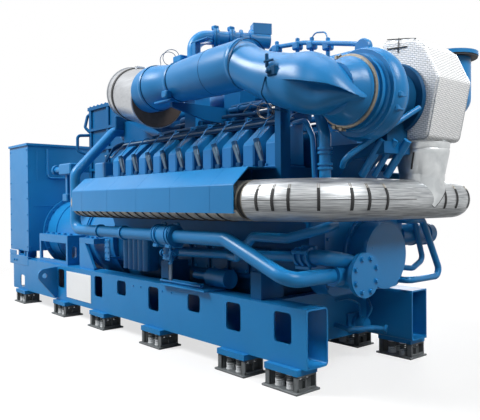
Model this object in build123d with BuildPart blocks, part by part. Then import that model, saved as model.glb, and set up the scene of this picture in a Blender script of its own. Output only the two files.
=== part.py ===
# Gas generator set: a V20 gas engine and an alternator on a steel base frame with spring isolators.
# Frame: +X is the engine's free end with the turbocharger, -X the alternator end,
# -Y the near side, +Z up. The origin is on the floor, at the middle of the whole set's length.
import math
import os

from build123d import *

os.makedirs("parts", exist_ok=True)

# Driving dimensions, in mm
overrun = 5.0  # how far every cut runs past the face it opens

# Base frame: two hollow box rails
frame_length = 5600.0
frame_rear_x = -2978.0
frame_half_width = 747.0
rail_width = 222.0
rail_height = 420.0
rail_wall_thick = 12.0
rail_corner_radius = 30.0
window_width = 178.0
window_tall = 222.0
window_short = 147.0
window_top_gap = 44.0  # rail top down to the windows' upper edge
window_corner_radius = 30.0
end_slot_width = 150.0
end_slot_drop = 193.0
tall_window_shares = (0.2842, 0.4550, 0.6518, 0.8600, 0.9580)  # along the frame from its rear end
short_window_shares = (0.5443, 0.7659)
end_slot_share = 0.0597
cross_member_inset = 34.0  # from the frame's rear end
cross_member_gap = 80.0  # to the flywheel housing and to the oil pan
cross_member_length = 100.0
cross_member_height = 240.0
cross_member_lift = 60.0
front_member_height = 400.0
front_member_lift = 15.0

# Spring isolators, six a side
isolator_shares = (0.0661, 0.2895, 0.4620, 0.6545, 0.8625, 0.9616)
isolator_y = 689.0
foot_plate_length = 355.0
foot_plate_width = 244.0
foot_plate_thick = 16.0
bracket_length = 78.0
bracket_width = 190.0
bracket_height = 111.0
bracket_inset = 12.0  # from the foot plate's end to the bracket
bracket_window_width = 128.0
bracket_window_height = 62.0
bracket_window_depth = 52.0
bracket_window_lift = 34.0
cup_radius = 42.0
cup_height = 66.0
spring_radius = 35.0
spring_spacing = 88.0
pad_length = 330.0
pad_width = 210.0
pad_thick = 44.0

# Lifting lugs on the rails
lug_share = 0.2630
lug_thick = 30.0
lug_reach = 160.0  # web face out to the eye's centre
lug_eye_radius = 80.0
lug_hole_radius = 30.0
lug_eye_drop = 120.0  # rail top down to the eye's centre
lug_root_gap = 24.0  # from the rail's edges to the lug's root

# Shaft line
shaft_z = 930.0

# Alternator
cabinet_rear_x = -3215.0
cabinet_length = 680.0
cabinet_half_width = 700.0
cabinet_bottom_z = 690.0
cabinet_height = 1440.0
lid_thick = 30.0
lid_overhang = 20.0
cabinet_post_length = 260.0
cabinet_post_inset = 20.0
cabinet_post_width = 160.0
cabinet_post_slot_length = 150.0
cabinet_post_slot_height = 46.0
drum_front_x = -1290.0
drum_radius = 450.0
drum_rim_radius = 500.0
drum_rim_length = 40.0
drum_foot_cabinet_gap = 380.0
drum_foot_front_x = -1305.0
drum_foot_inner_y = 400.0
drum_foot_outer_y = 700.0
drum_foot_thick = 50.0
drum_foot_bottom_z = 900.0
foot_frame_thick = 30.0
foot_frame_bar_width = 45.0
foot_frame_depth = 170.0
foot_frame_flange_thick = 16.0
foot_frame_slot_width = 60.0
foot_frame_slot_height = 150.0
coupling_radius = 430.0

# Engine block and its ends
flywheel_rear_x = -1015.0
block_rear_x = -515.0
block_front_x = 2405.0
flywheel_radius = 520.0
flywheel_top_z = 1500.0
flywheel_top_half_width = 300.0
flywheel_ear_rear_x = -1000.0
flywheel_ear_front_x = -640.0
flywheel_ear_inner_y = 400.0
flywheel_ear_outer_y = 690.0
flywheel_ear_bottom_z = 880.0
flywheel_ear_thick = 60.0
gusset_thick = 120.0
gusset_flange_thick = 20.0
gusset_top_length = 140.0
block_half_width = 460.0
block_bottom_z = 700.0
block_shoulder_z = 1000.0
deck_outer_y = 520.0
deck_outer_z = 1180.0
deck_inner_y = 260.0
deck_inner_z = 1440.0
pan_rear_x = -380.0
pan_front_x = 1980.0
pan_half_width = 400.0
pan_bottom_z = 320.0
pan_floor_half_width = 300.0
engine_foot_length = 120.0
engine_foot_outer_y = 700.0
engine_foot_top_z = 800.0
engine_foot_shares = (0.45, 0.88)  # along the block
gear_case_length = 155.0
gear_case_half_width = 480.0
gear_case_bottom_z = 640.0
gear_case_top_z = 1350.0
gear_case_corner_radius = 120.0
damper_length = 190.0
damper_radius = 250.0
damper_edge_width = 12.0

# Cylinder banks
cylinders_a_bank = 10
cylinder_pitch = 268.0
first_cylinder_x = -263.0
head_length = 250.0
head_outer_y = 700.0
head_shoulder_z = 1360.0
head_top_z = 1600.0
head_inner_y = 300.0
cover_length = 168.0
cover_inner_y = 310.0
cover_outer_y = 620.0
cover_shoulder_z = 1800.0
cover_top_z = 1960.0
cover_flat_y = 420.0
plenum_half_width = 250.0
plenum_top_z = 1900.0
plenum_corner_radius = 90.0
tray_width = 85.0
tray_height = 60.0

# Exhaust side
exhaust_y = 950.0
exhaust_z = 1348.0
exhaust_radius = 145.0
exhaust_front_x = 2925.0
exhaust_bend_radius = 450.0
exhaust_rear_x = -330.0
port_radius = 48.0
port_lift = 30.0  # port's axis above the manifold's
casing_outer_y = 1112.0
casing_bottom_z = 1260.0
casing_fold_z = 1460.0
casing_edge_y = 970.0
casing_roof_z = 1590.0
casing_sheet_thick = 6.0
casing_rear_trim = 127.0  # the casing stops short of the bank's rear end
riser_y = 200.0
riser_radius = 200.0
riser_neck_radius = 147.0
riser_neck_top_z = 1510.0
riser_flare_top_z = 1690.0

# Turbocharger group
turbo_x = 2866.0
turbo_z = 2070.0
hood_near_y = -50.0
hood_width = 440.0
hood_bottom_z = 1765.0
hood_rear_x = 2750.0
hood_bottom_front_x = 3125.0
hood_front_x = 3215.0
hood_brow_z = 2190.0
hood_shoulder_x = 3105.0
hood_shoulder_z = 2420.0
hood_crown_x = 3020.0
hood_crown_z = 2490.0
hood_top_z = 2530.0
hood_edge_radius = 30.0
stub_y = 650.0
stub_x = 2908.0
stub_radius = 150.0
stub_flange_radius = 205.0
stub_flange_thick = 30.0
stub_top_z = 2505.0
stub_elbow_z = 2150.0
stub_hole_radius = 11.0
stub_hole_circle_radius = 180.0
stub_hole_count = 8
console_near_y = -330.0
console_far_y = -20.0
console_root_z = 1520.0
console_knee_x = 2700.0
console_knee_z = 1640.0
console_shelf_z = 1670.0
console_top_z = 1750.0
bearing_near_y = -295.0
bearing_radius = 200.0
bearing_foot_length = 200.0
volute_near_y = -600.0
volute_mid_y = -405.0
volute_tube_radius = 102.0
volute_ring_radius = 220.0
volute_hub_radius = 233.0
discharge_length = 420.0  # from the turbocharger's axis to the end of the compressor's outlet
charge_pipe_radius = 92.0
charge_turn_x = 2260.0
charge_run_x = 2020.0
charge_run_y = 120.0
charge_run_z = 2365.0
charge_bend_radius = 120.0
clamp_width = 30.0
clamp_thick = 16.0
clamp_clearance = 0.3

# Air intake on top
duct_y = -770.0
duct_z = 2380.0
duct_front_x = 2045.0
duct_collar_radius = 202.0
duct_waist_x = 1085.0
duct_waist_radius = 168.0
duct_swell_x = 1700.0
duct_front_radius = 188.0
collar_bead_x = 830.0
sleeve_front_x = 715.0
sleeve_y = -700.0
sleeve_z = 2295.0
sleeve_length = 720.0
sleeve_radius = 262.0
sleeve_wall_thick = 8.0
sleeve_turn = 10.0  # degrees, the rear end swings inwards
sleeve_tilt = 14.0  # degrees, the rear end rises
inlet_reach = 1030.0
inlet_drop = 380.0
inlet_flange_radius = 228.0
inlet_flange_y = -700.0
bracket_rear_x = 1080.0
bracket_near_y = -200.0
bracket_width = 180.0
bracket_post_length = 115.0
bracket_head_length = 230.0
bracket_head_height = 150.0
bracket_top_z = 2360.0
gusset_thick = 30.0
gusset_top_z = 2220.0
gusset_root_height = 150.0
gusset_knee_y = -450.0
gusset_knee_height = 132.0
gusset_tip_overhang = 40.0  # past the duct's axis
gusset_tip_height = 45.0
front_post_length = 60.0
front_post_inner_y = 600.0
front_post_bottom_z = 1400.0
front_post_top_z = 2200.0  # inside the inlet casing, which trims it
seat_clearance = 0.3

# Gas mixer on the plenum
mixer_x = 625.0
mixer_column_y = -180.0
mixer_column_width = 180.0
mixer_box_y = -270.0
mixer_box_length = 390.0
mixer_box_width = 190.0
mixer_box_bottom_z = 2430.0
mixer_top_z = 2740.0
gas_pipe_x = 700.0
gas_pipe_radius = 68.0
gas_pipe_z = 2963.0
gas_pipe_bend_radius = 130.0
gas_pipe_reach = 560.0
gas_pipe_turn = 62.0  # degrees from +X towards +Y
valve_flange_radius = 100.0
valve_flange_thick = 26.0
valve_body_radius = 78.0
valve_body_length = 180.0
valve_box_length = 190.0
valve_box_width = 130.0
valve_box_lift = 50.0  # pipe's axis up to the box's underside
valve_box_height = 107.0

# Mixture cooler over the flywheel
cooler_rear_x = -1375.0
cooler_front_x = -430.0
cooler_half_width = 350.0
cooler_top_z = 2480.0
cooler_lid_thick = 40.0
cooler_lid_overhang = 25.0
cooler_rib_thick = 30.0
cooler_rib_shares = (0.25, 0.50, 0.75)

# Near water pipe
pipe_radius = 54.0
pipe_y = -950.0
pipe_x = -535.0
pipe_start_z = 2140.0
pipe_start_run = 130.0
pipe_knee_z = 1657.0
pipe_run_z = 1060.0
pipe_dip_x = 2005.0
pipe_front_x = 2655.0
pipe_front_z = 815.0
pipe_bend_radius = 110.0
pipe_flange_radius = 80.0
pipe_flange_thick = 24.0
coupling_x = 1100.0
coupling_length = 260.0
coupling_body_radius = 86.0
pump_y = -350.0
pump_body_radius = 110.0
pump_front_x = 2790.0
pump_inlet_y = -500.0
pump_cover_radius = 160.0
pump_cover_thick = 35.0

# Accessories on the block's sides
filter_rear_x = -168.0
filter_length = 480.0
filter_outer_y = 560.0
filter_bottom_z = 650.0
filter_height = 325.0
filter_rib_radius = 45.0
filter_rib_count = 5
starter_rear_x = 1340.0
starter_length = 260.0
starter_y = -575.0
starter_z = 690.0
starter_radius = 80.0
starter_nose_radius = 34.0
starter_nose_length = 230.0
starter_lug_width = 90.0
loop_radius = 28.0
loop_x = 2650.0
loop_inner_y = 440.0
loop_outer_y = 930.0
loop_top_y = 640.0
loop_top_z = 1180.0
loop_bottom_z = 690.0
loop_bend_radius = 60.0
motor_radius = 90.0
motor_outer_y = 980.0
motor_z = 1050.0

# Worked-out places
rail_bottom_z = foot_plate_thick + bracket_height + pad_thick
rail_top_z = rail_bottom_z + rail_height
rail_inner_y = frame_half_width - rail_width
frame_front_x = frame_rear_x + frame_length
cabinet_front_x = cabinet_rear_x + cabinet_length
drum_foot_rear_x = cabinet_front_x + drum_foot_cabinet_gap
cabinet_top_z = cabinet_bottom_z + cabinet_height
gear_case_front_x = block_front_x + gear_case_length
bank_length = cylinders_a_bank * cylinder_pitch
bank_rear_x = first_cylinder_x - cylinder_pitch / 2
bank_front_x = bank_rear_x + bank_length
casing_rear_x = bank_rear_x + casing_rear_trim
duct_axis = Axis((0, duct_y, duct_z), (1, 0, 0))
turbo_axis = Axis((turbo_x, 0, turbo_z), (0, 1, 0))


def along_frame(share):
    return frame_rear_x + share * frame_length


def cylinder_x(index):
    return first_cylinder_x + index * cylinder_pitch


def keep(piece, node):
    piece.part.label = node
    export_step(piece.part, f"parts/{node}.step")


def both_sides(places, y):
    return [(x, side * y) for x in places for side in (-1, 1)]


# Base frame
with BuildPart() as near_rail:
    with BuildSketch(Plane.YZ.offset(frame_rear_x)):
        with Locations((-frame_half_width + rail_width / 2, rail_bottom_z + rail_height / 2)):
            Rectangle(rail_width, rail_height)
            RectangleRounded(
                rail_width - 2 * rail_wall_thick,
                rail_height - 2 * rail_wall_thick,
                rail_corner_radius - rail_wall_thick,
                mode=Mode.SUBTRACT,
            )
    extrude(amount=frame_length)
    inner_edges = near_rail.edges().filter_by(Axis.X).group_by(Axis.Y)[-1]
    fillet(inner_edges, rail_corner_radius)
    with BuildSketch(Plane.XZ.offset(frame_half_width + overrun)):
        for share in tall_window_shares:
            with Locations((along_frame(share), rail_top_z - window_top_gap - window_tall / 2)):
                RectangleRounded(window_width, window_tall, window_corner_radius)
        for share in short_window_shares:
            with Locations((along_frame(share), rail_top_z - window_top_gap - window_short / 2)):
                RectangleRounded(window_width, window_short, window_corner_radius)
    extrude(amount=-(rail_wall_thick + 2 * overrun), mode=Mode.SUBTRACT)
    with BuildSketch(Plane.XZ.offset(frame_half_width + overrun)):
        with Locations((along_frame(end_slot_share), rail_top_z - end_slot_drop - window_tall / 2)):
            RectangleRounded(end_slot_width, window_tall - 2 * window_corner_radius, window_corner_radius)
    extrude(amount=-(rail_width + 2 * overrun), mode=Mode.SUBTRACT)

with BuildPart() as far_rail:
    mirror(near_rail.part, about=Plane.XZ)

with BuildPart() as cross_members:
    member_places = (
        (frame_rear_x + cross_member_inset, cross_member_lift, cross_member_height),
        (flywheel_rear_x - cross_member_gap - cross_member_length, cross_member_lift, cross_member_height),
        (pan_front_x + cross_member_gap, front_member_lift, front_member_height),
    )
    for x, lift, height in member_places:
        with Locations((x, 0, rail_bottom_z + lift)):
            Box(
                cross_member_length,
                2 * rail_inner_y,
                height,
                align=(Align.MIN, Align.CENTER, Align.MIN),
            )

with BuildPart() as lifting_lugs:
    with BuildSketch(Plane.YZ.offset(along_frame(lug_share) - lug_thick / 2)):
        with Locations((-frame_half_width - lug_reach, rail_top_z - lug_eye_drop)):
            Circle(lug_eye_radius)
        with Locations((-frame_half_width - lug_thick / 2, rail_bottom_z + rail_height / 2)):
            Rectangle(lug_thick, rail_height - 2 * lug_root_gap)
        make_hull()
        with Locations((-frame_half_width - lug_reach, rail_top_z - lug_eye_drop)):
            Circle(lug_hole_radius, mode=Mode.SUBTRACT)
    extrude(amount=lug_thick)
    mirror(about=Plane.XZ)

# Spring isolators: a welded foot with two end brackets, two springs in cups, and a top pad
isolator_places = both_sides([along_frame(share) for share in isolator_shares], isolator_y)
bracket_x = foot_plate_length / 2 - bracket_inset - bracket_length / 2

with BuildPart() as isolator_bases:
    with Locations(*[(x, y, 0) for x, y in isolator_places]):
        Box(
            foot_plate_length,
            foot_plate_width,
            foot_plate_thick,
            align=(Align.CENTER, Align.CENTER, Align.MIN),
        )
    for x, y in isolator_places:
        for end in (-1, 1):
            with Locations((x + end * bracket_x, y, foot_plate_thick)):
                Box(
                    bracket_length,
                    bracket_width,
                    bracket_height,
                    align=(Align.CENTER, Align.CENTER, Align.MIN),
                )
            window_x = x + end * (bracket_x + bracket_length / 2 - bracket_window_depth / 2)
            with Locations((window_x + end * overrun / 2, y, foot_plate_thick + bracket_window_lift)):
                Box(
                    bracket_window_depth + overrun,
                    bracket_window_width,
                    bracket_window_height,
                    align=(Align.CENTER, Align.CENTER, Align.MIN),
                    mode=Mode.SUBTRACT,
                )

spring_places = [
    (x + end * spring_spacing / 2, y) for x, y in isolator_places for end in (-1, 1)
]
with BuildPart() as isolator_springs:
    with BuildSketch(Plane.XY.offset(foot_plate_thick)):
        with Locations(*spring_places):
            Circle(cup_radius)
    extrude(amount=cup_height)
    with BuildSketch(Plane.XY.offset(foot_plate_thick + cup_height)):
        with Locations(*spring_places):
            Circle(spring_radius)
    extrude(amount=bracket_height - cup_height)

with BuildPart() as isolator_pads:
    with Locations(*[(x, y, rail_bottom_z) for x, y in isolator_places]):
        Box(pad_length, pad_width, pad_thick, align=(Align.CENTER, Align.CENTER, Align.MAX))

# Alternator: terminal cabinet, stator drum, and the frames that carry its feet
with BuildPart() as alternator_cabinet:
    with Locations((cabinet_rear_x + cabinet_length / 2, 0, cabinet_bottom_z)):
        Box(
            cabinet_length,
            2 * cabinet_half_width,
            cabinet_height,
            align=(Align.CENTER, Align.CENTER, Align.MIN),
        )

with BuildPart() as alternator_lid:
    with Locations((cabinet_rear_x + (cabinet_length + lid_overhang) / 2, 0, cabinet_top_z)):
        Box(
            cabinet_length + lid_overhang,
            2 * (cabinet_half_width + lid_overhang),
            lid_thick,
            align=(Align.CENTER, Align.CENTER, Align.MIN),
        )

with BuildPart() as cabinet_posts:
    post_y = rail_inner_y + cabinet_post_width / 2
    post_height = cabinet_bottom_z - rail_top_z
    for side in (-1, 1):
        with Locations((frame_rear_x + cabinet_post_inset, side * post_y, rail_top_z)):
            Box(
                cabinet_post_length,
                cabinet_post_width,
                post_height,
                align=(Align.MIN, Align.CENTER, Align.MIN),
            )
        with Locations(
            (frame_rear_x + cabinet_post_inset + cabinet_post_length / 2, side * post_y, cabinet_bottom_z)
        ):
            Box(
                cabinet_post_slot_length,
                cabinet_post_width + 2 * overrun,
                2 * cabinet_post_slot_height,
                mode=Mode.SUBTRACT,
            )

with BuildPart() as alternator_drum:
    with BuildSketch(Plane.YZ.offset(cabinet_front_x)):
        with Locations((0, shaft_z)):
            Circle(drum_rim_radius)
    extrude(amount=drum_rim_length)
    with BuildSketch(Plane.YZ.offset(cabinet_front_x)):
        with Locations((0, shaft_z)):
            Circle(drum_radius)
    extrude(amount=drum_front_x - cabinet_front_x)
    for side in (-1, 1):
        with Locations(
            (
                (drum_foot_rear_x + drum_foot_front_x) / 2,
                side * (drum_foot_inner_y + drum_foot_outer_y) / 2,
                drum_foot_bottom_z,
            )
        ):
            Box(
                drum_foot_front_x - drum_foot_rear_x,
                drum_foot_outer_y - drum_foot_inner_y,
                drum_foot_thick,
                align=(Align.CENTER, Align.CENTER, Align.MIN),
            )

foot_frame_length = drum_foot_front_x - drum_foot_rear_x
foot_frame_height = drum_foot_bottom_z - rail_top_z
with BuildPart() as alternator_foot_frames:
    with BuildSketch(Plane.XZ.offset(drum_foot_outer_y)):
        with Locations(
            ((drum_foot_rear_x + drum_foot_front_x) / 2, rail_top_z + foot_frame_height / 2)
        ):
            Rectangle(foot_frame_length, foot_frame_height)
            Rectangle(
                foot_frame_length - 2 * foot_frame_bar_width,
                foot_frame_height - 2 * foot_frame_bar_width,
                mode=Mode.SUBTRACT,
            )
    extrude(amount=-foot_frame_thick)
    with Locations((drum_foot_rear_x, -drum_foot_outer_y, rail_top_z)):
        Box(
            foot_frame_length,
            foot_frame_depth,
            foot_frame_flange_thick,
            align=(Align.MIN, Align.MIN, Align.MIN),
        )
    with BuildSketch(Plane.YZ.offset(drum_foot_front_x)):
        with Locations((-drum_foot_outer_y + foot_frame_depth / 2, rail_top_z + foot_frame_height / 2)):
            Rectangle(foot_frame_depth, foot_frame_height)
            SlotOverall(
                foot_frame_slot_height, foot_frame_slot_width, rotation=90, mode=Mode.SUBTRACT
            )
    extrude(amount=-foot_frame_bar_width)
    mirror(about=Plane.XZ)

with BuildPart() as coupling_housing:
    with BuildSketch(Plane.YZ.offset(drum_front_x)):
        with Locations((0, shaft_z)):
            Circle(coupling_radius)
    extrude(amount=flywheel_rear_x - drum_front_x)

# Engine block, its feet and its ends
with BuildPart() as flywheel_housing:
    with BuildSketch(Plane.YZ.offset(flywheel_rear_x)):
        with Locations((0, shaft_z)):
            Circle(flywheel_radius)
        with Locations((0, shaft_z)):
            Rectangle(
                2 * flywheel_top_half_width,
                flywheel_top_z - shaft_z,
                align=(Align.CENTER, Align.MIN),
            )
    extrude(amount=block_rear_x - flywheel_rear_x)
    for side in (-1, 1):
        with Locations(
            (
                (flywheel_ear_rear_x + flywheel_ear_front_x) / 2,
                side * (flywheel_ear_inner_y + flywheel_ear_outer_y) / 2,
                flywheel_ear_bottom_z,
            )
        ):
            Box(
                flywheel_ear_front_x - flywheel_ear_rear_x,
                flywheel_ear_outer_y - flywheel_ear_inner_y,
                flywheel_ear_thick,
                align=(Align.CENTER, Align.CENTER, Align.MIN),
            )

with BuildPart() as flywheel_gussets:
    with BuildSketch(Plane.XZ.offset(flywheel_ear_outer_y)):
        with BuildLine():
            Polyline(
                (flywheel_ear_rear_x, flywheel_ear_bottom_z),
                (flywheel_ear_rear_x + gusset_top_length, flywheel_ear_bottom_z),
                (flywheel_ear_front_x, rail_top_z + gusset_flange_thick),
                (flywheel_ear_front_x, rail_top_z),
                (flywheel_ear_rear_x, rail_top_z),
                close=True,
            )
        make_face()
    extrude(amount=-gusset_thick)
    mirror(about=Plane.XZ)

with BuildPart() as crankcase:
    with BuildSketch(Plane.YZ.offset(block_rear_x)):
        with BuildLine():
            Polyline(
                (0, block_bottom_z),
                (block_half_width, block_bottom_z),
                (block_half_width, block_shoulder_z),
                (deck_outer_y, deck_outer_z),
                (deck_inner_y, deck_inner_z),
                (0, deck_inner_z),
            )
            mirror(about=Plane.YZ)
        make_face()
    extrude(amount=block_front_x - block_rear_x)

with BuildPart() as oil_pan:
    with BuildSketch(Plane.YZ.offset(pan_rear_x)):
        with BuildLine():
            Polyline(
                (0, block_bottom_z),
                (pan_half_width, block_bottom_z),
                (pan_half_width, rail_top_z),
                (pan_floor_half_width, pan_bottom_z),
                (0, pan_bottom_z),
            )
            mirror(about=Plane.YZ)
        make_face()
    extrude(amount=pan_front_x - pan_rear_x)

with BuildPart() as engine_feet:
    for share in engine_foot_shares:
        foot_x = block_rear_x + share * (block_front_x - block_rear_x)
        for side in (-1, 1):
            foot_y = side * (block_half_width + engine_foot_outer_y) / 2
            with Locations((foot_x, foot_y, rail_top_z)):
                Box(
                    engine_foot_length,
                    engine_foot_outer_y - block_half_width,
                    engine_foot_top_z - rail_top_z,
                    align=(Align.CENTER, Align.CENTER, Align.MIN),
                )

with BuildPart() as gear_case:
    with BuildSketch(Plane.YZ.offset(block_front_x)):
        with Locations((0, (gear_case_bottom_z + gear_case_top_z) / 2)):
            RectangleRounded(
                2 * gear_case_half_width, gear_case_top_z - gear_case_bottom_z, gear_case_corner_radius
            )
    extrude(amount=gear_case_length)

with BuildPart() as damper_housing:
    with BuildSketch(Plane.YZ.offset(gear_case_front_x)):
        with Locations((0, shaft_z)):
            Circle(damper_radius)
    extrude(amount=damper_length)
    chamfer(damper_housing.faces().sort_by(Axis.X)[-1].edges(), damper_edge_width)


# Cylinder banks
def bank_of_blocks(profile, length, side):
    with BuildPart() as bank:
        for index in range(cylinders_a_bank):
            with BuildSketch(Plane.YZ.offset(cylinder_x(index) - length / 2)):
                with BuildLine():
                    Polyline(*[(side * y, z) for y, z in profile], close=True)
                make_face()
            extrude(amount=length)
    return bank


head_profile = (
    (deck_inner_y, deck_inner_z),
    (deck_outer_y, deck_outer_z),
    (head_outer_y, head_shoulder_z),
    (head_outer_y, head_top_z),
    (head_inner_y, head_top_z),
)
cover_profile = (
    (cover_inner_y, head_top_z),
    (cover_outer_y, head_top_z),
    (cover_outer_y, cover_shoulder_z),
    (cover_flat_y, cover_top_z),
    (cover_inner_y, cover_top_z),
)
near_cylinder_heads = bank_of_blocks(head_profile, head_length, -1)
far_cylinder_heads = bank_of_blocks(head_profile, head_length, 1)
near_rocker_covers = bank_of_blocks(cover_profile, cover_length, -1)
far_rocker_covers = bank_of_blocks(cover_profile, cover_length, 1)

with BuildPart() as mixture_plenum:
    with BuildSketch(Plane.YZ.offset(bank_rear_x)):
        with Locations((0, (deck_inner_z + plenum_top_z) / 2)):
            Rectangle(2 * plenum_half_width, plenum_top_z - deck_inner_z)
    extrude(amount=bank_length)
    fillet(mixture_plenum.edges().filter_by(Axis.X).group_by(Axis.Z)[-1], plenum_corner_radius)

with BuildPart() as cable_trays:
    for side in (-1, 1):
        with Locations(
            (
                (bank_rear_x + bank_front_x) / 2,
                side * (cover_inner_y + tray_width / 2),
                cover_top_z,
            )
        ):
            Box(
                bank_length,
                tray_width,
                tray_height,
                align=(Align.CENTER, Align.CENTER, Align.MIN),
            )

# Exhaust: insulated manifolds under sheet casings, joined in front of the engine
with BuildPart() as near_exhaust_manifold:
    with BuildSketch(Plane.YZ.offset(exhaust_rear_x)):
        with Locations((-exhaust_y, exhaust_z)):
            Circle(exhaust_radius)
    extrude(amount=bank_front_x - exhaust_rear_x)
    with BuildSketch(Plane.XZ.offset(head_outer_y)):
        for index in range(cylinders_a_bank):
            with Locations((cylinder_x(index), exhaust_z + port_lift)):
                Circle(port_radius)
    extrude(amount=exhaust_y - exhaust_radius / 2 - head_outer_y)

with BuildPart() as far_exhaust_manifold:
    mirror(near_exhaust_manifold.part, about=Plane.XZ)

with BuildPart() as near_exhaust_casing:
    with BuildSketch(Plane.YZ.offset(casing_rear_x)):
        with BuildLine():
            Polyline(
                (-casing_outer_y, casing_bottom_z),
                (-casing_outer_y, casing_fold_z),
                (-casing_edge_y, casing_roof_z),
                (-head_outer_y, casing_roof_z),
                (-head_outer_y, casing_roof_z - casing_sheet_thick),
                (-casing_edge_y + casing_sheet_thick / 2, casing_roof_z - casing_sheet_thick),
                (-casing_outer_y + casing_sheet_thick, casing_fold_z - casing_sheet_thick / 2),
                (-casing_outer_y + casing_sheet_thick, casing_bottom_z),
                close=True,
            )
        make_face()
    extrude(amount=bank_front_x - casing_rear_x)

with BuildPart() as far_exhaust_casing:
    mirror(near_exhaust_casing.part, about=Plane.XZ)

with BuildPart() as exhaust_crossover:
    with BuildLine():
        FilletPolyline(
            (bank_front_x, -exhaust_y, exhaust_z),
            (exhaust_front_x, -exhaust_y, exhaust_z),
            (exhaust_front_x, exhaust_y, exhaust_z),
            (bank_front_x, exhaust_y, exhaust_z),
            radius=exhaust_bend_radius,
        )
    with BuildSketch(Plane.YZ.offset(bank_front_x)):
        with Locations((-exhaust_y, exhaust_z)):
            Circle(exhaust_radius)
    sweep()
    with BuildSketch(Plane.XZ.offset(-riser_y)):
        with BuildLine():
            Polyline(
                (exhaust_front_x, exhaust_z),
                (exhaust_front_x + riser_neck_radius, exhaust_z),
                (exhaust_front_x + riser_neck_radius, riser_neck_top_z),
                (exhaust_front_x + riser_radius, riser_flare_top_z),
                (exhaust_front_x + riser_radius, hood_bottom_z),
                (exhaust_front_x, hood_bottom_z),
                close=True,
            )
        make_face()
    revolve(axis=Axis((exhaust_front_x, riser_y, 0), (0, 0, 1)))

# Turbocharger: insulated turbine, bearing housing, compressor
with BuildPart() as turbine_hood:
    with BuildSketch(Plane.XZ.offset(-hood_near_y)):
        with BuildLine():
            Polyline(
                (hood_rear_x, hood_bottom_z),
                (hood_bottom_front_x, hood_bottom_z),
                (hood_front_x, hood_brow_z),
                (hood_shoulder_x, hood_shoulder_z),
                (hood_crown_x, hood_crown_z),
                (hood_rear_x, hood_top_z),
                close=True,
            )
        make_face()
    extrude(amount=-hood_width)
    fillet(turbine_hood.faces().sort_by(Axis.Z)[-1].edges().filter_by(Axis.Y), hood_edge_radius)

with BuildPart() as outlet_stub:
    with BuildSketch(Plane.XZ.offset(-hood_near_y - hood_width)):
        with Locations((stub_x, stub_elbow_z)):
            Circle(stub_radius)
    extrude(amount=-(stub_y - hood_near_y - hood_width))
    with BuildSketch(Plane.XY.offset(stub_elbow_z)):
        with Locations((stub_x, stub_y)):
            Circle(stub_radius)
    extrude(amount=stub_top_z - stub_elbow_z)
    with Locations((stub_x, stub_y, stub_elbow_z)):
        Sphere(stub_radius)
    with BuildSketch(Plane.XY.offset(stub_top_z)):
        with Locations((stub_x, stub_y)):
            Circle(stub_flange_radius)
            with PolarLocations(stub_hole_circle_radius, stub_hole_count):
                Circle(stub_hole_radius, mode=Mode.SUBTRACT)
    extrude(amount=-stub_flange_thick)

with BuildPart() as turbo_console:
    with BuildSketch(Plane.XZ.offset(-console_near_y)):
        with BuildLine():
            Polyline(
                (block_front_x, gear_case_top_z),
                (gear_case_front_x, gear_case_top_z),
                (gear_case_front_x, console_root_z),
                (console_knee_x, console_knee_z),
                (turbo_x + bearing_foot_length / 2, console_shelf_z),
                (turbo_x + bearing_foot_length / 2, console_top_z),
                (block_front_x, console_top_z),
                close=True,
            )
        make_face()
    extrude(amount=-(console_far_y - console_near_y))

with BuildPart() as bearing_housing:
    with BuildSketch(Plane.XZ.offset(-hood_near_y)):
        with Locations((turbo_x, turbo_z)):
            Circle(bearing_radius)
        with Locations((turbo_x, console_top_z)):
            Rectangle(
                bearing_foot_length, turbo_z - console_top_z, align=(Align.CENTER, Align.MIN)
            )
    extrude(amount=hood_near_y - bearing_near_y)

with BuildPart() as compressor_volute:
    with BuildSketch(Plane.XY.offset(turbo_z)):
        with Locations((turbo_x, volute_near_y)):
            Rectangle(
                volute_hub_radius, bearing_near_y - volute_near_y, align=(Align.MIN, Align.MIN)
            )
        with Locations((turbo_x + volute_ring_radius, volute_mid_y)):
            Circle(volute_tube_radius)
    revolve(axis=turbo_axis)
    with BuildSketch(Plane.YZ.offset(turbo_x - discharge_length)):
        with Locations((volute_mid_y, turbo_z + volute_ring_radius)):
            Circle(volute_tube_radius)
    extrude(amount=discharge_length)

with BuildPart() as charge_pipe:
    with BuildLine():
        FilletPolyline(
            (turbo_x - discharge_length, volute_mid_y, turbo_z + volute_ring_radius),
            (charge_turn_x, volute_mid_y, turbo_z + volute_ring_radius),
            (charge_run_x, charge_run_y, charge_run_z),
            (cooler_front_x, charge_run_y, charge_run_z),
            radius=charge_bend_radius,
        )
    with BuildSketch(Plane.YZ.offset(turbo_x - discharge_length)):
        with Locations((volute_mid_y, turbo_z + volute_ring_radius)):
            Circle(charge_pipe_radius)
    sweep()

with BuildPart() as compressor_clamp:
    with BuildSketch(Plane.XZ.offset(-volute_near_y - clamp_width / 2)):
        with Locations((turbo_x, turbo_z)):
            Circle(volute_hub_radius + clamp_clearance + clamp_thick)
            Circle(volute_hub_radius + clamp_clearance, mode=Mode.SUBTRACT)
    extrude(amount=clamp_width)

# Air intake: a steel sleeve that rises to the rear, a rolled duct, and the casting that turns
# the air into the compressor
sleeve_turn_angle = math.radians(sleeve_turn)
sleeve_tilt_angle = math.radians(sleeve_tilt)
sleeve_way = Vector(
    -math.cos(sleeve_turn_angle) * math.cos(sleeve_tilt_angle),
    math.sin(sleeve_turn_angle) * math.cos(sleeve_tilt_angle),
    math.sin(sleeve_tilt_angle),
)
sleeve_plane = Plane(origin=(sleeve_front_x, sleeve_y, sleeve_z), z_dir=sleeve_way)

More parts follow.
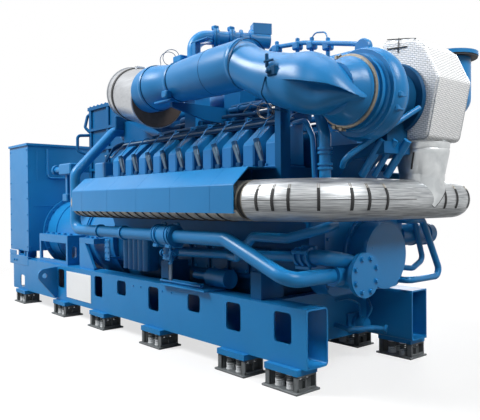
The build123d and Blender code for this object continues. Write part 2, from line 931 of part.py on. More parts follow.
with BuildPart() as intake_sleeve:
    with BuildSketch(sleeve_plane):
        Circle(sleeve_radius)
    extrude(amount=sleeve_length)
    with BuildSketch(sleeve_plane.offset(sleeve_wall_thick)):
        Circle(sleeve_radius - sleeve_wall_thick)
    extrude(amount=sleeve_length + overrun, mode=Mode.SUBTRACT)


def duct_points(growth):
    return (
        (sleeve_front_x - duct_collar_radius, duct_y),
        (sleeve_front_x - duct_collar_radius, duct_y + duct_collar_radius + growth),
        (collar_bead_x, duct_y + duct_collar_radius + growth),
        (duct_waist_x, duct_y + duct_waist_radius + growth),
        (duct_swell_x, duct_y + duct_front_radius + growth),
        (duct_front_x, duct_y + duct_front_radius + growth),
        (duct_front_x, duct_y),
    )


with BuildPart() as intake_duct:
    with BuildSketch(Plane.XY.offset(duct_z)):
        with BuildLine():
            Polyline(*duct_points(0), close=True)
        make_face()
    revolve(axis=duct_axis)
    split(bisect_by=sleeve_plane, keep=Keep.BOTTOM)

inlet_shares = (
    # place along the reach, width and height of the duct's front, shift to the flange, drop
    (0.000, 1.00, 1.00, 0.00, 0.03),
    (0.146, 1.00, 0.97, 0.00, 0.25),
    (0.447, 1.05, 1.06, 0.10, 0.55),
    (0.728, 1.00, 1.05, 0.20, 0.71),
    (0.942, 0.65, 0.40, 0.60, 0.89),
    (1.000, 0.35, 0.12, 0.80, 1.00),
)
inlet_shift = inlet_flange_y - duct_y


def inlet_body(growth):
    with BuildPart() as body:
        for place, width, height, shift, drop in inlet_shares:
            with BuildSketch(Plane.YZ.offset(duct_front_x + place * inlet_reach)):
                with Locations((duct_y + shift * inlet_shift, duct_z - drop * inlet_drop)):
                    Ellipse(width * duct_front_radius + growth, height * duct_front_radius + growth)
        loft()
    return body


clamp_near_y = volute_near_y - clamp_width / 2 - clamp_clearance
with BuildPart() as inlet_casing:
    add(inlet_body(0).part)
    split(bisect_by=Plane.XZ.offset(-clamp_near_y), keep=Keep.TOP)
    with BuildSketch(Plane.XZ.offset(-volute_near_y)):
        with Locations((turbo_x, turbo_z)):
            Circle(inlet_flange_radius)
    extrude(amount=volute_near_y - inlet_flange_y)

with BuildPart() as duct_supports:
    with Locations((bracket_rear_x, bracket_near_y, plenum_top_z)):
        Box(
            bracket_post_length,
            bracket_width,
            bracket_top_z - plenum_top_z,
            align=(Align.MIN, Align.MIN, Align.MIN),
        )
    with Locations((bracket_rear_x, bracket_near_y, bracket_top_z)):
        Box(
            bracket_head_length,
            bracket_width,
            bracket_head_height,
            align=(Align.MIN, Align.MIN, Align.MAX),
        )
    with BuildSketch(Plane.YZ.offset(bracket_rear_x)):
        with BuildLine():
            Polyline(
                (bracket_near_y, gusset_top_z),
                (duct_y - gusset_tip_overhang, gusset_top_z),
                (duct_y - gusset_tip_overhang, gusset_top_z - gusset_tip_height),
                (gusset_knee_y, gusset_top_z - gusset_knee_height),
                (bracket_near_y, gusset_top_z - gusset_root_height),
                close=True,
            )
        make_face()
    extrude(amount=gusset_thick)
    with Locations(
        (cylinder_x(cylinders_a_bank - 1) + head_length / 2, -front_post_inner_y, front_post_bottom_z)
    ):
        Box(
            front_post_length,
            head_outer_y - front_post_inner_y,
            front_post_top_z - front_post_bottom_z,
            align=(Align.MIN, Align.MAX, Align.MIN),
        )
    with BuildSketch(Plane.XY.offset(duct_z)):
        with BuildLine():
            Polyline(*duct_points(seat_clearance), close=True)
        make_face()
    revolve(axis=duct_axis, mode=Mode.SUBTRACT)
    add(inlet_body(seat_clearance).part, mode=Mode.SUBTRACT)

# Gas mixer, its pipe and valve
gas_way = Vector(math.cos(math.radians(gas_pipe_turn)), math.sin(math.radians(gas_pipe_turn)), 0)
gas_foot = Vector(gas_pipe_x, mixer_box_y, mixer_top_z)
gas_top = Vector(gas_pipe_x, mixer_box_y, gas_pipe_z)
gas_end = gas_top + gas_way * gas_pipe_reach

with BuildPart() as gas_mixer:
    with Locations((mixer_x, mixer_column_y, plenum_top_z)):
        Box(
            mixer_column_width,
            mixer_column_width,
            mixer_box_bottom_z - plenum_top_z,
            align=(Align.CENTER, Align.CENTER, Align.MIN),
        )
    with Locations((mixer_x, mixer_box_y, mixer_box_bottom_z)):
        Box(
            mixer_box_length,
            mixer_box_width,
            mixer_top_z - mixer_box_bottom_z,
            align=(Align.CENTER, Align.CENTER, Align.MIN),
        )

with BuildPart() as gas_pipe:
    with BuildLine():
        FilletPolyline(gas_foot, gas_top, gas_end, radius=gas_pipe_bend_radius)
    with BuildSketch(Plane.XY.offset(mixer_top_z)):
        with Locations((gas_pipe_x, mixer_box_y)):
            Circle(gas_pipe_radius)
    sweep()

valve_plane = Plane(origin=gas_end, x_dir=(0, 0, 1), z_dir=gas_way)
with BuildPart() as gas_valve:
    with BuildSketch(valve_plane):
        Circle(valve_flange_radius)
    extrude(amount=valve_flange_thick)
    with BuildSketch(valve_plane.offset(valve_flange_thick)):
        Circle(valve_body_radius)
    extrude(amount=valve_body_length)
    with BuildSketch(valve_plane.offset(valve_flange_thick)):
        with Locations((valve_box_lift, 0)):
            Rectangle(valve_box_height, valve_box_width, align=(Align.MIN, Align.CENTER))
    extrude(amount=valve_box_length)

# Mixture cooler over the flywheel
with BuildPart() as mixture_cooler:
    cooler_length = cooler_front_x - cooler_rear_x
    with Locations((cooler_rear_x, 0, flywheel_top_z)):
        Box(
            cooler_length,
            2 * cooler_half_width,
            cooler_top_z - flywheel_top_z,
            align=(Align.MIN, Align.CENTER, Align.MIN),
        )
    with Locations((cooler_rear_x - cooler_lid_overhang, 0, cooler_top_z)):
        Box(
            cooler_length + 2 * cooler_lid_overhang,
            2 * (cooler_half_width + cooler_lid_overhang),
            cooler_lid_thick,
            align=(Align.MIN, Align.CENTER, Align.MIN),
        )
    for share in cooler_rib_shares:
        rib_z = flywheel_top_z + share * (cooler_top_z - flywheel_top_z)
        with Locations((cooler_rear_x - cooler_rib_thick, 0, rib_z)):
            Box(
                cooler_length + 2 * cooler_rib_thick,
                2 * (cooler_half_width + cooler_rib_thick),
                cooler_rib_thick,
                align=(Align.MIN, Align.CENTER, Align.CENTER),
            )

# Near water pipe from the cooler to the pump at the free end
with BuildPart() as near_water_pipe:
    with BuildLine():
        FilletPolyline(
            (pipe_x, -cooler_half_width, pipe_start_z),
            (pipe_x, -cooler_half_width - pipe_start_run, pipe_start_z),
            (pipe_x, pipe_y, pipe_knee_z),
            (pipe_x, pipe_y, pipe_run_z),
            (pipe_dip_x, pipe_y, pipe_run_z),
            (pipe_front_x, pipe_y, pipe_front_z),
            (pipe_front_x, pump_inlet_y, pipe_front_z),
            radius=pipe_bend_radius,
        )
    with BuildSketch(Plane.XZ.offset(cooler_half_width)):
        with Locations((pipe_x, pipe_start_z)):
            Circle(pipe_radius)
    sweep()
    with BuildSketch(Plane.XZ.offset(cooler_half_width)):
        with Locations((pipe_x, pipe_start_z)):
            Circle(pipe_flange_radius)
    extrude(amount=pipe_flange_thick)
    with BuildSketch(Plane.XZ.offset(-pump_inlet_y)):
        with Locations((pipe_front_x, pipe_front_z)):
            Circle(pipe_flange_radius)
    extrude(amount=pipe_flange_thick)
    with BuildSketch(Plane.YZ.offset(coupling_x)):
        with Locations((pipe_y, pipe_run_z)):
            Circle(coupling_body_radius)
    extrude(amount=coupling_length)

with BuildPart() as water_pump:
    with BuildSketch(Plane.YZ.offset(gear_case_front_x)):
        with Locations((pump_y, pipe_front_z)):
            Circle(pump_body_radius)
    extrude(amount=pump_front_x - gear_case_front_x)
    with BuildSketch(Plane.XZ.offset(-pump_y)):
        with Locations((pipe_front_x, pipe_front_z)):
            Circle(pipe_flange_radius)
    extrude(amount=pump_y - pump_inlet_y)

with BuildPart() as pump_cover:
    with BuildSketch(Plane.YZ.offset(pump_front_x)):
        with Locations((pump_y, pipe_front_z)):
            Circle(pump_cover_radius)
    extrude(amount=pump_cover_thick)

# Accessories
with BuildPart() as oil_filter_block:
    with Locations((filter_rear_x, -block_half_width, filter_bottom_z)):
        Box(
            filter_length,
            filter_outer_y - block_half_width,
            filter_height,
            align=(Align.MIN, Align.MAX, Align.MIN),
        )
    rib_pitch = filter_length / filter_rib_count
    with BuildSketch(Plane.XY.offset(filter_bottom_z)):
        for index in range(filter_rib_count):
            with Locations((filter_rear_x + (index + 1 / 2) * rib_pitch, -filter_outer_y)):
                Circle(filter_rib_radius)
    extrude(amount=filter_height)

with BuildPart() as starter_motor:
    with BuildSketch(Plane.YZ.offset(starter_rear_x)):
        with Locations((starter_y, starter_z)):
            Circle(starter_radius)
    extrude(amount=starter_length)
    with BuildSketch(Plane.YZ.offset(starter_rear_x - starter_nose_length)):
        with Locations((starter_y, starter_z)):
            Circle(starter_nose_radius)
    extrude(amount=starter_nose_length)
    with Locations((starter_rear_x + starter_length / 2, -block_half_width, starter_z)):
        Box(
            starter_lug_width,
            -starter_y - block_half_width,
            starter_lug_width,
            align=(Align.CENTER, Align.MAX, Align.CENTER),
        )

with BuildPart() as front_loop_pipe:
    with BuildLine():
        FilletPolyline(
            (gear_case_front_x, loop_inner_y, loop_top_z),
            (loop_x, loop_inner_y, loop_top_z),
            (loop_x, loop_top_y, loop_top_z),
            (loop_x, loop_outer_y, loop_bottom_z),
            (loop_x, loop_inner_y, loop_bottom_z),
            (gear_case_front_x, loop_inner_y, loop_bottom_z),
            radius=loop_bend_radius,
        )
    with BuildSketch(Plane.YZ.offset(gear_case_front_x)):
        with Locations((loop_inner_y, loop_top_z)):
            Circle(loop_radius)
    sweep()

with BuildPart() as far_motor:
    with BuildSketch(Plane.XZ.offset(-gear_case_half_width)):
        with Locations((block_front_x + motor_radius + seat_clearance, motor_z)):
            Circle(motor_radius)
    extrude(amount=-(motor_outer_y - gear_case_half_width))

pieces = {
    "near_rail": near_rail,
    "far_rail": far_rail,
    "cross_members": cross_members,
    "lifting_lugs": lifting_lugs,
    "isolator_bases": isolator_bases,
    "isolator_springs": isolator_springs,
    "isolator_pads": isolator_pads,
    "alternator_cabinet": alternator_cabinet,
    "alternator_lid": alternator_lid,
    "cabinet_posts": cabinet_posts,
    "alternator_drum": alternator_drum,
    "alternator_foot_frames": alternator_foot_frames,
    "coupling_housing": coupling_housing,
    "flywheel_housing": flywheel_housing,
    "flywheel_gussets": flywheel_gussets,
    "crankcase": crankcase,
    "oil_pan": oil_pan,
    "engine_feet": engine_feet,
    "gear_case": gear_case,
    "damper_housing": damper_housing,
    "near_cylinder_heads": near_cylinder_heads,
    "far_cylinder_heads": far_cylinder_heads,
    "near_rocker_covers": near_rocker_covers,
    "far_rocker_covers": far_rocker_covers,
    "mixture_plenum": mixture_plenum,
    "cable_trays": cable_trays,
    "near_exhaust_manifold": near_exhaust_manifold,
    "far_exhaust_manifold": far_exhaust_manifold,
    "near_exhaust_casing": near_exhaust_casing,
    "far_exhaust_casing": far_exhaust_casing,
    "exhaust_crossover": exhaust_crossover,
    "turbine_hood": turbine_hood,
    "outlet_stub": outlet_stub,
    "turbo_console": turbo_console,
    "bearing_housing": bearing_housing,
    "compressor_volute": compressor_volute,
    "charge_pipe": charge_pipe,
    "compressor_clamp": compressor_clamp,
    "intake_sleeve": intake_sleeve,
    "intake_duct": intake_duct,
    "inlet_casing": inlet_casing,
    "duct_supports": duct_supports,
    "gas_mixer": gas_mixer,
    "gas_pipe": gas_pipe,
    "gas_valve": gas_valve,
    "mixture_cooler": mixture_cooler,
    "near_water_pipe": near_water_pipe,
    "water_pump": water_pump,
    "pump_cover": pump_cover,
    "oil_filter_block": oil_filter_block,
    "starter_motor": starter_motor,
    "front_loop_pipe": front_loop_pipe,
    "far_motor": far_motor,
}
for node, piece in pieces.items():
    keep(piece, node)
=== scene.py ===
# Gas generator set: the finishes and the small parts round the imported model.
# Metres in the model's own frame: +X towards the turbocharger, -Y the near side, +Z up.
import math

import bmesh
import bpy
import numpy as np
from mathutils import Matrix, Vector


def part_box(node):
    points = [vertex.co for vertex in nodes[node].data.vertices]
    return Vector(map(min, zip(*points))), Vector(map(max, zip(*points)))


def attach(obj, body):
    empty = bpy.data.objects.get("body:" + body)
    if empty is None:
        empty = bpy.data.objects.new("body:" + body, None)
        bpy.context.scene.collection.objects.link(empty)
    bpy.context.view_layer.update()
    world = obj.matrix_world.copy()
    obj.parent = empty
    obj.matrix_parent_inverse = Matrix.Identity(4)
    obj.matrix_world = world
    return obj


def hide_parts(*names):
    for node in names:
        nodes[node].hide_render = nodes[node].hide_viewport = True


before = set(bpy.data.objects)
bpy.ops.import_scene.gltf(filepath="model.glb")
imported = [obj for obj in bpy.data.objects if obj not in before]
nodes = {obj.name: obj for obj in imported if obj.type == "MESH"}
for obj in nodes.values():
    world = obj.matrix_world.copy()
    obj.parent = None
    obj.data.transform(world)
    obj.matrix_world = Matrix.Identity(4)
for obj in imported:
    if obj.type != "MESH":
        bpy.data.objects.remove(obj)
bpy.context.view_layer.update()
tau = 2 * math.pi
origin = np.zeros(3)
xAxis, yAxis, zAxis = np.eye(3)
sides = {-1: "near", 1: "far"}
print("frame loaded with", len(nodes), "nodes")


# A shape is a pair: points (n, 3) and faces (m, 4), where -1 in the last place marks a triangle
def unit(vectors):
    vectors = np.asarray(vectors, float)
    return vectors / np.linalg.norm(vectors, axis=-1, keepdims=True)


def basisOf(axis):
    # two directions square to the axis and to each other
    axis = unit(axis)
    lean = np.where(np.abs(axis[..., 2:]) > 0.9, xAxis, zAxis)
    side = unit(np.cross(lean, axis))
    return side, np.cross(axis, side), axis


def fullTurn(count):
    return np.arange(count) * tau / count


def arcWays(angles, side, up):
    # a direction for each angle: cos a side + sin a up
    angles = np.asarray(angles)[..., None]
    return np.cos(angles) * side + np.sin(angles) * up


def skin(points, closed=False):
    # rings of points: a face joins (i, j) to (i+1, j), (i+1, j+1) and (i, j+1), and j wraps round
    rows, cols = points.shape[:2]
    i, j = np.meshgrid(np.arange(rows if closed else rows - 1), np.arange(cols), indexing="ij")
    down, right = (i + 1) % rows, (j + 1) % cols
    corners = [i * cols + j, down * cols + j, down * cols + right, i * cols + right]
    return points.reshape(-1, 3), np.stack(corners, -1).reshape(-1, 4)


def capped(points):
    # a skin whose first and last rings are drawn to their middles
    ends = [np.broadcast_to(row.mean(0), row.shape)[None] for row in (points[0], points[-1])]
    return skin(np.concatenate([ends[0], points, ends[1]]))


def lathe(profile, base=origin, axis=zAxis, segments=32, closed=False):
    # profile (h, r) turned about the axis: base + h axis + r (cos a side + sin a up)
    h, r = np.asarray(profile, float).T[..., None, None]
    side, up, axis = basisOf(axis)
    return skin(np.asarray(base) + h * axis + r * arcWays(fullTurn(segments), side, up), closed)


def ring(radius, width, height, base, axis=xAxis, segments=48):
    # flat band round an axis: inner radius, width along the axis, height outwards
    half, outer = width / 2, radius + height
    return lathe([(-half, radius), (-half, outer), (half, outer), (half, radius)], base, axis, segments, True)


def tube(path, radius, segments=12, closed=False):
    # circle carried along the path: point + radius (cos a side + sin a up), ends drawn to a point
    path = np.asarray(path, float)
    if closed:
        tangent = unit(np.roll(path, -1, 0) - np.roll(path, 1, 0))
    else:
        tangent = unit(np.gradient(path, axis=0))
    most = np.abs(tangent).max(0)
    lean = np.eye(3)[np.argmin(most)] if most.min() < 0.9 else unit([0.41, 0.53, 0.74])
    side = unit(np.cross(tangent, lean))
    up = np.cross(side, tangent)
    reach = np.broadcast_to(radius, len(path))[:, None, None]
    points = path[:, None] + reach * arcWays(fullTurn(segments), side[:, None], up[:, None])
    return skin(points, True) if closed else capped(points)


def bentPath(corners, bend, steps=9):
    # straight runs joined by arcs that touch both runs at each inner corner
    corners = np.asarray(corners, float)
    runs = [corners[:1]]
    for before, corner, after in zip(corners, corners[1:], corners[2:]):
        back, on = unit(before - corner), unit(after - corner)
        half = 0.5 * math.acos(np.clip(back @ on, -1, 1))
        outwards = -unit(back + on)
        centre = corner - outwards * bend / math.sin(half)
        turn = np.linspace(-1, 1, steps) * (math.pi / 2 - half)
        runs.append(centre + bend * arcWays(turn, outwards, unit(on - back)))
    return np.concatenate(runs + [corners[-1:]])


def pipe(corners, bend, radius, segments=10, steps=9):
    return tube(bentPath(corners, bend, steps), radius, segments)


def box(low, high, bevel=0.006):
    # box with bevelled edges: at each corner one point on each of its three faces
    low, high = np.minimum(low, high), np.maximum(low, high)
    middle, half = (low + high) / 2, (high - low) / 2
    bevel = min(bevel, half.min() * 0.8)
    signs = np.array([[(c >> k & 1) * 2 - 1 for k in range(3)] for c in range(8)], float)
    points = signs[:, None] * (half - bevel * (1 - np.eye(3)))
    faces = [[3 * c, 3 * c + 1, 3 * c + 2, -1] for c in range(8)]
    for k in range(3):
        one, two = (k + 1) % 3, (k + 2) % 3
        m, n = 1 << one, 1 << two
        for c in (0, 1 << k):
            faces.append([3 * x + k for x in (c, c | m, c | m | n, c | n)])
        for c in (0, m, n, m | n):
            d = c | 1 << k
            faces.append([3 * c + one, 3 * d + one, 3 * d + two, 3 * c + two])
    return middle + points.reshape(-1, 3), np.array(faces)


def block(middle, half, bevel=0.006):
    return box(np.subtract(middle, half), np.add(middle, half), bevel)


def prism(loop, along, bevel=0.01):
    # convex loop pushed along a direction, drawn in by the bevel at both ends and closed at its middle
    loop, along = np.asarray(loop, float), np.asarray(along, float)
    middle = loop.mean(0)
    edge = bevel / np.linalg.norm(along)
    inset = 1 - bevel / np.linalg.norm(loop - middle, axis=1).mean()
    rows = [(0, 0), (0, inset), (edge, 1), (1 - edge, 1), (1, inset), (1, 0)]
    return skin(np.array([middle + scale * (loop - middle) + share * along for share, scale in rows]))


def sheet(outer, inner, along):
    # folded sheet: the strip between two open profiles, pushed along a direction and closed all round
    start = np.stack([np.asarray(outer, float), np.asarray(inner, float)])
    points = np.stack([start, start + along])
    n = len(outer)
    i = np.arange(n - 1)
    at = np.arange(4 * n).reshape(2, 2, n)
    faces = [np.stack([at[0, k, i], at[0, k, i + 1], at[1, k, i + 1], at[1, k, i]], 1) for k in (0, 1)]
    faces += [np.stack([at[e, 0, i], at[e, 0, i + 1], at[e, 1, i + 1], at[e, 1, i]], 1) for e in (0, 1)]
    faces += [np.array([[at[0, 0, e], at[1, 0, e], at[1, 1, e], at[0, 1, e]]]) for e in (0, n - 1)]
    return points.reshape(-1, 3), np.concatenate(faces)


def join(shapes):
    # faces of each shape counted on from the points before it
    starts = np.cumsum([0] + [len(points) for points, faces in shapes[:-1]])
    faces = [np.where(f < 0, f, f + start) for (p, f), start in zip(shapes, starts)]
    return np.concatenate([p for p, f in shapes]), np.concatenate(faces)


def scatter(shape, places, facing=zAxis, size=1):
    # copies of one shape with its z along each facing direction
    points, faces = shape
    places = np.atleast_2d(np.asarray(places, float))
    basis = np.stack(basisOf(np.broadcast_to(np.asarray(facing, float), places.shape)), 1)
    copies = places[:, None] + size * np.einsum("pk,nkd->npd", points, basis)
    starts = np.arange(len(places))[:, None, None] * len(points)
    return copies.reshape(-1, 3), np.where(faces < 0, faces, faces + starts).reshape(-1, 4)


def shapesOf(parts):
    # named parts: each one is the function that makes it, then its places and sizes
    return [make(*sizes) for make, *sizes in parts.values()]


def smoothValues(knots, values, at):
    # cubic pieces through the values, with the mean slope of its neighbours at each knot
    knots, values = np.asarray(knots, float), np.asarray(values, float)
    slopes = np.gradient(values, knots)
    i = np.clip(np.searchsorted(knots, at) - 1, 0, len(knots) - 2)
    span = knots[i + 1] - knots[i]
    t = (at - knots[i]) / span
    first = (2 * t**3 - 3 * t**2 + 1) * values[i] + (t**3 - 2 * t**2 + t) * span * slopes[i]
    return first + (3 * t**2 - 2 * t**3) * values[i + 1] + (t**3 - t**2) * span * slopes[i + 1]


def addObject(name, data):
    thing = bpy.data.objects.new(name, data)
    bpy.context.scene.collection.objects.link(thing)
    return thing


def buildPiece(name, shapes, finish, replaces="", sharp=32):
    # one object from its shapes: doubles merged, faces turned outwards, smooth below the sharp angle
    points, faces = join(shapes)
    counts = 4 - (faces[:, 3] < 0)
    mesh = bpy.data.meshes.new(name)
    mesh.vertices.add(len(points))
    mesh.vertices.foreach_set("co", points.ravel())
    mesh.loops.add(int(counts.sum()))
    mesh.loops.foreach_set("vertex_index", faces[faces >= 0])
    mesh.polygons.add(len(faces))
    mesh.polygons.foreach_set("loop_start", np.concatenate([[0], np.cumsum(counts)[:-1]]))
    mesh.update(calc_edges=True)
    work = bmesh.new()
    work.from_mesh(mesh)
    bmesh.ops.remove_doubles(work, verts=work.verts, dist=2e-6)
    bmesh.ops.dissolve_degenerate(work, edges=work.edges, dist=1e-7)
    bmesh.ops.recalc_face_normals(work, faces=work.faces)
    work.to_mesh(mesh)
    work.free()
    mesh.shade_smooth()
    mesh.set_sharp_from_angle(angle=math.radians(sharp))
    mesh.materials.append(finish)
    piece = addObject(name, mesh)
    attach(piece, "root")
    if replaces:
        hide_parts(replaces)


# Finishes
def linear(hexColour):
    # sRGB to linear: c / 12.92 in the darks, else ((c + 0.055) / 1.055) to the power 2.4
    c = np.array([int(hexColour[i : i + 2], 16) for i in (1, 3, 5)]) / 255
    c = np.where(c <= 0.04045, c / 12.92, ((c + 0.055) / 1.055) ** 2.4)
    return (*c.tolist(), 1.0)


def addNode(tree, kind, inputs, **settings):
    # a node with its own settings; an input is a value, or a socket to link from
    node = tree.nodes.new("ShaderNode" + kind)
    for name, value in settings.items():
        setattr(node, name, value)
    for name, value in inputs.items():
        if isinstance(value, bpy.types.NodeSocket):
            tree.links.new(value, node.inputs[name])
        else:
            node.inputs[name].default_value = value
    return node


def startFinish(name):
    material = bpy.data.materials.new(name)
    material.use_nodes = True
    material.node_tree.nodes.clear()
    return material, material.node_tree, addNode(material.node_tree, "TexCoord", {}).outputs["Object"]


def endFinish(material, tree, sockets):
    shader = addNode(tree, "BsdfPrincipled", sockets)
    addNode(tree, "OutputMaterial", {"Surface": shader.outputs[0]})
    return material


def scaleOf(millimetres):
    return 1000.0 / millimetres


def enamelFinish(name, colour, shade, roughness, grainMm, grainDepthMm, sheen=0.3):
    # sprayed machine enamel: an even blue with a faint cloudy tone, orange peel or the skin of
    # the casting under it, and gloss that dulls in patches; the grain is drawn coarse so that it shows
    material, tree, place = startFinish(name)
    clouds = {"Vector": place, "Scale": scaleOf(380), "Detail": 4.0, "Roughness": 0.6}
    cloud = addNode(tree, "TexNoise", clouds)
    tone = addNode(tree, "Mix", {0: cloud.outputs[0], 6: linear(colour), 7: linear(shade)}, data_type="RGBA")
    gloss = addNode(tree, "TexNoise", {"Vector": place, "Scale": scaleOf(140), "Detail": 5.0})
    rough = addNode(tree, "MapRange", {0: gloss.outputs[0], 3: roughness - 0.08, 4: roughness + 0.1})
    grain = addNode(tree, "TexNoise", {"Vector": place, "Scale": scaleOf(grainMm), "Detail": 3.0})
    relief = {"Strength": 0.35, "Distance": grainDepthMm / 1000, "Height": grain.outputs[0]}
    bump = addNode(tree, "Bump", relief)
    sockets = {"Base Color": tone.outputs[2], "Roughness": rough.outputs[0], "Normal": bump.outputs[0]}
    return endFinish(material, tree, {**sockets, "Specular IOR Level": sheen})


def claddingFinish(name, colour, shade, roughness, creaseMm, stretch):
    # thin aluminium foil wrapped over insulation: soft dents, and creases that run along the pipe
    material, tree, place = startFinish(name)
    along = addNode(tree, "Mapping", {"Vector": place, "Scale": stretch}).outputs[0]
    creases = {"Vector": along, "Scale": scaleOf(creaseMm), "Detail": 5.0, "Distortion": 0.5}
    dents = addNode(tree, "TexNoise", creases)
    share = addNode(tree, "MapRange", {0: dents.outputs[0], 1: 0.36, 2: 0.64})
    tone = addNode(tree, "Mix", {0: share.outputs[0], 6: linear(shade), 7: linear(colour)}, data_type="RGBA")
    bump = addNode(tree, "Bump", {"Strength": 0.5, "Distance": 0.006, "Height": dents.outputs[0]})
    sockets = {"Base Color": tone.outputs[2], "Roughness": roughness, "Metallic": 0.88}
    return endFinish(material, tree, {**sockets, "Normal": bump.outputs[0]})


def quiltFinish(name):
    # embossed insulating mat: foil pressed into rows of short slanted pads, about 30 by 13 mm,
    # with darker lines between them
    material, tree, place = startFinish(name)
    along = addNode(tree, "VectorMath", {0: place, 1: (1.0, 1.0, 0.0)}, operation="DOT_PRODUCT")
    upwards = addNode(tree, "VectorMath", {0: place, 1: (0.3, -0.3, 1.0)}, operation="DOT_PRODUCT")
    slant = addNode(tree, "CombineXYZ", {0: along.outputs["Value"], 1: upwards.outputs["Value"]})
    colours = {"Color1": linear("#fbfbfb"), "Color2": linear("#f2f3f4"), "Mortar": linear("#bcc0c2")}
    sizes = {"Brick Width": 0.034, "Row Height": 0.015, "Mortar Size": 0.003, "Mortar Smooth": 0.6}
    pads = addNode(tree, "TexBrick", {"Vector": slant.outputs[0], "Scale": 1.0, **colours, **sizes})
    bump = addNode(tree, "Bump", {"Strength": 0.6, "Distance": 0.004, "Height": pads.outputs[1]}, invert=True)
    sockets = {"Base Color": pads.outputs[0], "Roughness": 0.5, "Metallic": 0.05, "Normal": bump.outputs[0]}
    return endFinish(material, tree, sockets)


def steelFinish(name, colour, shade, roughness, stretch, grainMm):
    # bare steel: brushed along one way, so the streaks are long in that direction
    material, tree, place = startFinish(name)
    brush = addNode(tree, "Mapping", {"Vector": place, "Scale": stretch}).outputs[0]
    streak = addNode(tree, "TexNoise", {"Vector": brush, "Scale": scaleOf(grainMm), "Detail": 3.0})
    tone = addNode(tree, "Mix", {0: streak.outputs[0], 6: linear(shade), 7: linear(colour)}, data_type="RGBA")
    rough = addNode(tree, "MapRange", {0: streak.outputs[0], 3: roughness - 0.07, 4: roughness + 0.1})
    sockets = {"Base Color": tone.outputs[2], "Roughness": rough.outputs[0], "Metallic": 1.0}
    return endFinish(material, tree, sockets)


def dullFinish(name, colour, shade, roughness, grainMm, depthMm):
    # rubber, painted plate, iron and the dark brown painted shade on the sleeve's end: no shine, with a fine
    # even grain
    material, tree, place = startFinish(name)
    grain = addNode(tree, "TexNoise", {"Vector": place, "Scale": scaleOf(grainMm), "Detail": 4.0})
    tone = addNode(tree, "Mix", {0: grain.outputs[0], 6: linear(colour), 7: linear(shade)}, data_type="RGBA")
    bump = addNode(tree, "Bump", {"Strength": 0.3, "Distance": depthMm / 1000, "Height": grain.outputs[0]})
    sockets = {"Base Color": tone.outputs[2], "Roughness": roughness, "Normal": bump.outputs[0]}
    return endFinish(material, tree, sockets)


sheetEnamel = enamelFinish("sheetEnamel", "#2084c4", "#1b78b6", 0.32, 30, 0.5)
castEnamel = enamelFinish("castEnamel", "#1d7ebd", "#1872ae", 0.31, 16, 0.8)
# darker copy of the blue paint: painted shade for parts that stand in the shade of the casings, the cooler
# and the duct
paintedShadeEnamel = enamelFinish("paintedShadeEnamel", "#0f6096", "#0b4f80", 0.36, 16, 0.8, 0.12)
# darkest copy of the blue paint: the own colour of boots, leads, wires and the sensor, and painted shade on
# the bearing housing, the turbine joint, the valley hoses and the duct's grooves
deepEnamelAndShade = enamelFinish("deepEnamelAndShade", "#104f7a", "#0c4066", 0.42, 18, 1.0, 0.12)
foilCladding = claddingFinish("foilCladding", "#bfc2c4", "#8d9194", 0.42, 200, (1.0, 1.0, 28.0))
riserFoil = claddingFinish("riserFoil", "#d2d5d6", "#b9bdbf", 0.4, 130, (1.0, 1.0, 1.0))
manifoldWrap = claddingFinish("manifoldWrap", "#b9b6ac", "#8f8c84", 0.45, 60, (1.0, 1.0, 1.0))
quiltedFoil = quiltFinish("quiltedFoil")
drumStainless = steelFinish("drumStainless", "#c9ccd0", "#a0a4a9", 0.3, (0.05, 1.0, 1.0), 14)
clampSteel = steelFinish("clampSteel", "#948f85", "#6c675e", 0.4, (1.0, 1.0, 1.0), 20)
plugSteel = steelFinish("plugSteel", "#6d8497", "#33485b", 0.36, (1.0, 1.0, 0.2), 12)
brightSteel = steelFinish("brightSteel", "#d4d6d8", "#b4b7ba", 0.24, (1.0, 1.0, 0.2), 12)
isolatorIron = dullFinish("isolatorIron", "#74797b", "#5a5f61", 0.45, 30, 0.6)
# the cups' light steel, made near white and matte so that its colour also stands in for their shine: partly
# painted highlight
cupSteel = dullFinish("cupSteel", "#eceff1", "#cdd2d5", 0.3, 12, 0.2)
blackStrap = dullFinish("blackStrap", "#121315", "#1b1c1e", 0.62, 8, 0.6)
# dark brown: painted shade of the sleeve's front end face below the collar
capShadeBrown = dullFinish("capShadeBrown", "#64554a", "#463c34", 0.8, 40, 1.0)
whitePlate = dullFinish("whitePlate", "#f3f5f6", "#eceff1", 0.35, 160, 0.1)
greyConduit = dullFinish("greyConduit", "#7f97ab", "#5f7890", 0.45, 20, 0.6)
print("finishes made")

nodeFinishes = {
    sheetEnamel: """near_rail far_rail cross_members lifting_lugs isolator_pads alternator_cabinet
        alternator_lid cabinet_posts alternator_drum alternator_foot_frames coupling_housing flywheel_gussets
        near_water_pipe front_loop_pipe outlet_stub gas_pipe gas_valve gas_mixer charge_pipe""",
    castEnamel: """flywheel_housing gear_case damper_housing compressor_volute water_pump pump_cover
        oil_filter_block starter_motor far_motor near_rocker_covers far_rocker_covers intake_duct
        inlet_casing near_exhaust_casing far_exhaust_casing""",
    # these parts take the darker copy of the paint: painted shade where they sit under the casings and the
    # duct
    paintedShadeEnamel: """crankcase oil_pan engine_feet turbo_console near_cylinder_heads far_cylinder_heads
        mixture_plenum cable_trays duct_supports mixture_cooler""",
    # bearing housing in the darkest paint: painted shade in the gap between the volute and the hood
    deepEnamelAndShade: "bearing_housing",
    manifoldWrap: "near_exhaust_manifold far_exhaust_manifold",
    foilCladding: "exhaust_crossover",
    quiltedFoil: "turbine_hood",
    drumStainless: "intake_sleeve",
    clampSteel: "compressor_clamp",
    brightSteel: "isolator_springs",
    isolatorIron: "isolator_bases",
}
for finish, names in nodeFinishes.items():
    for name in names.split():
        nodes[name].data.materials.clear()
        nodes[name].data.materials.append(finish)

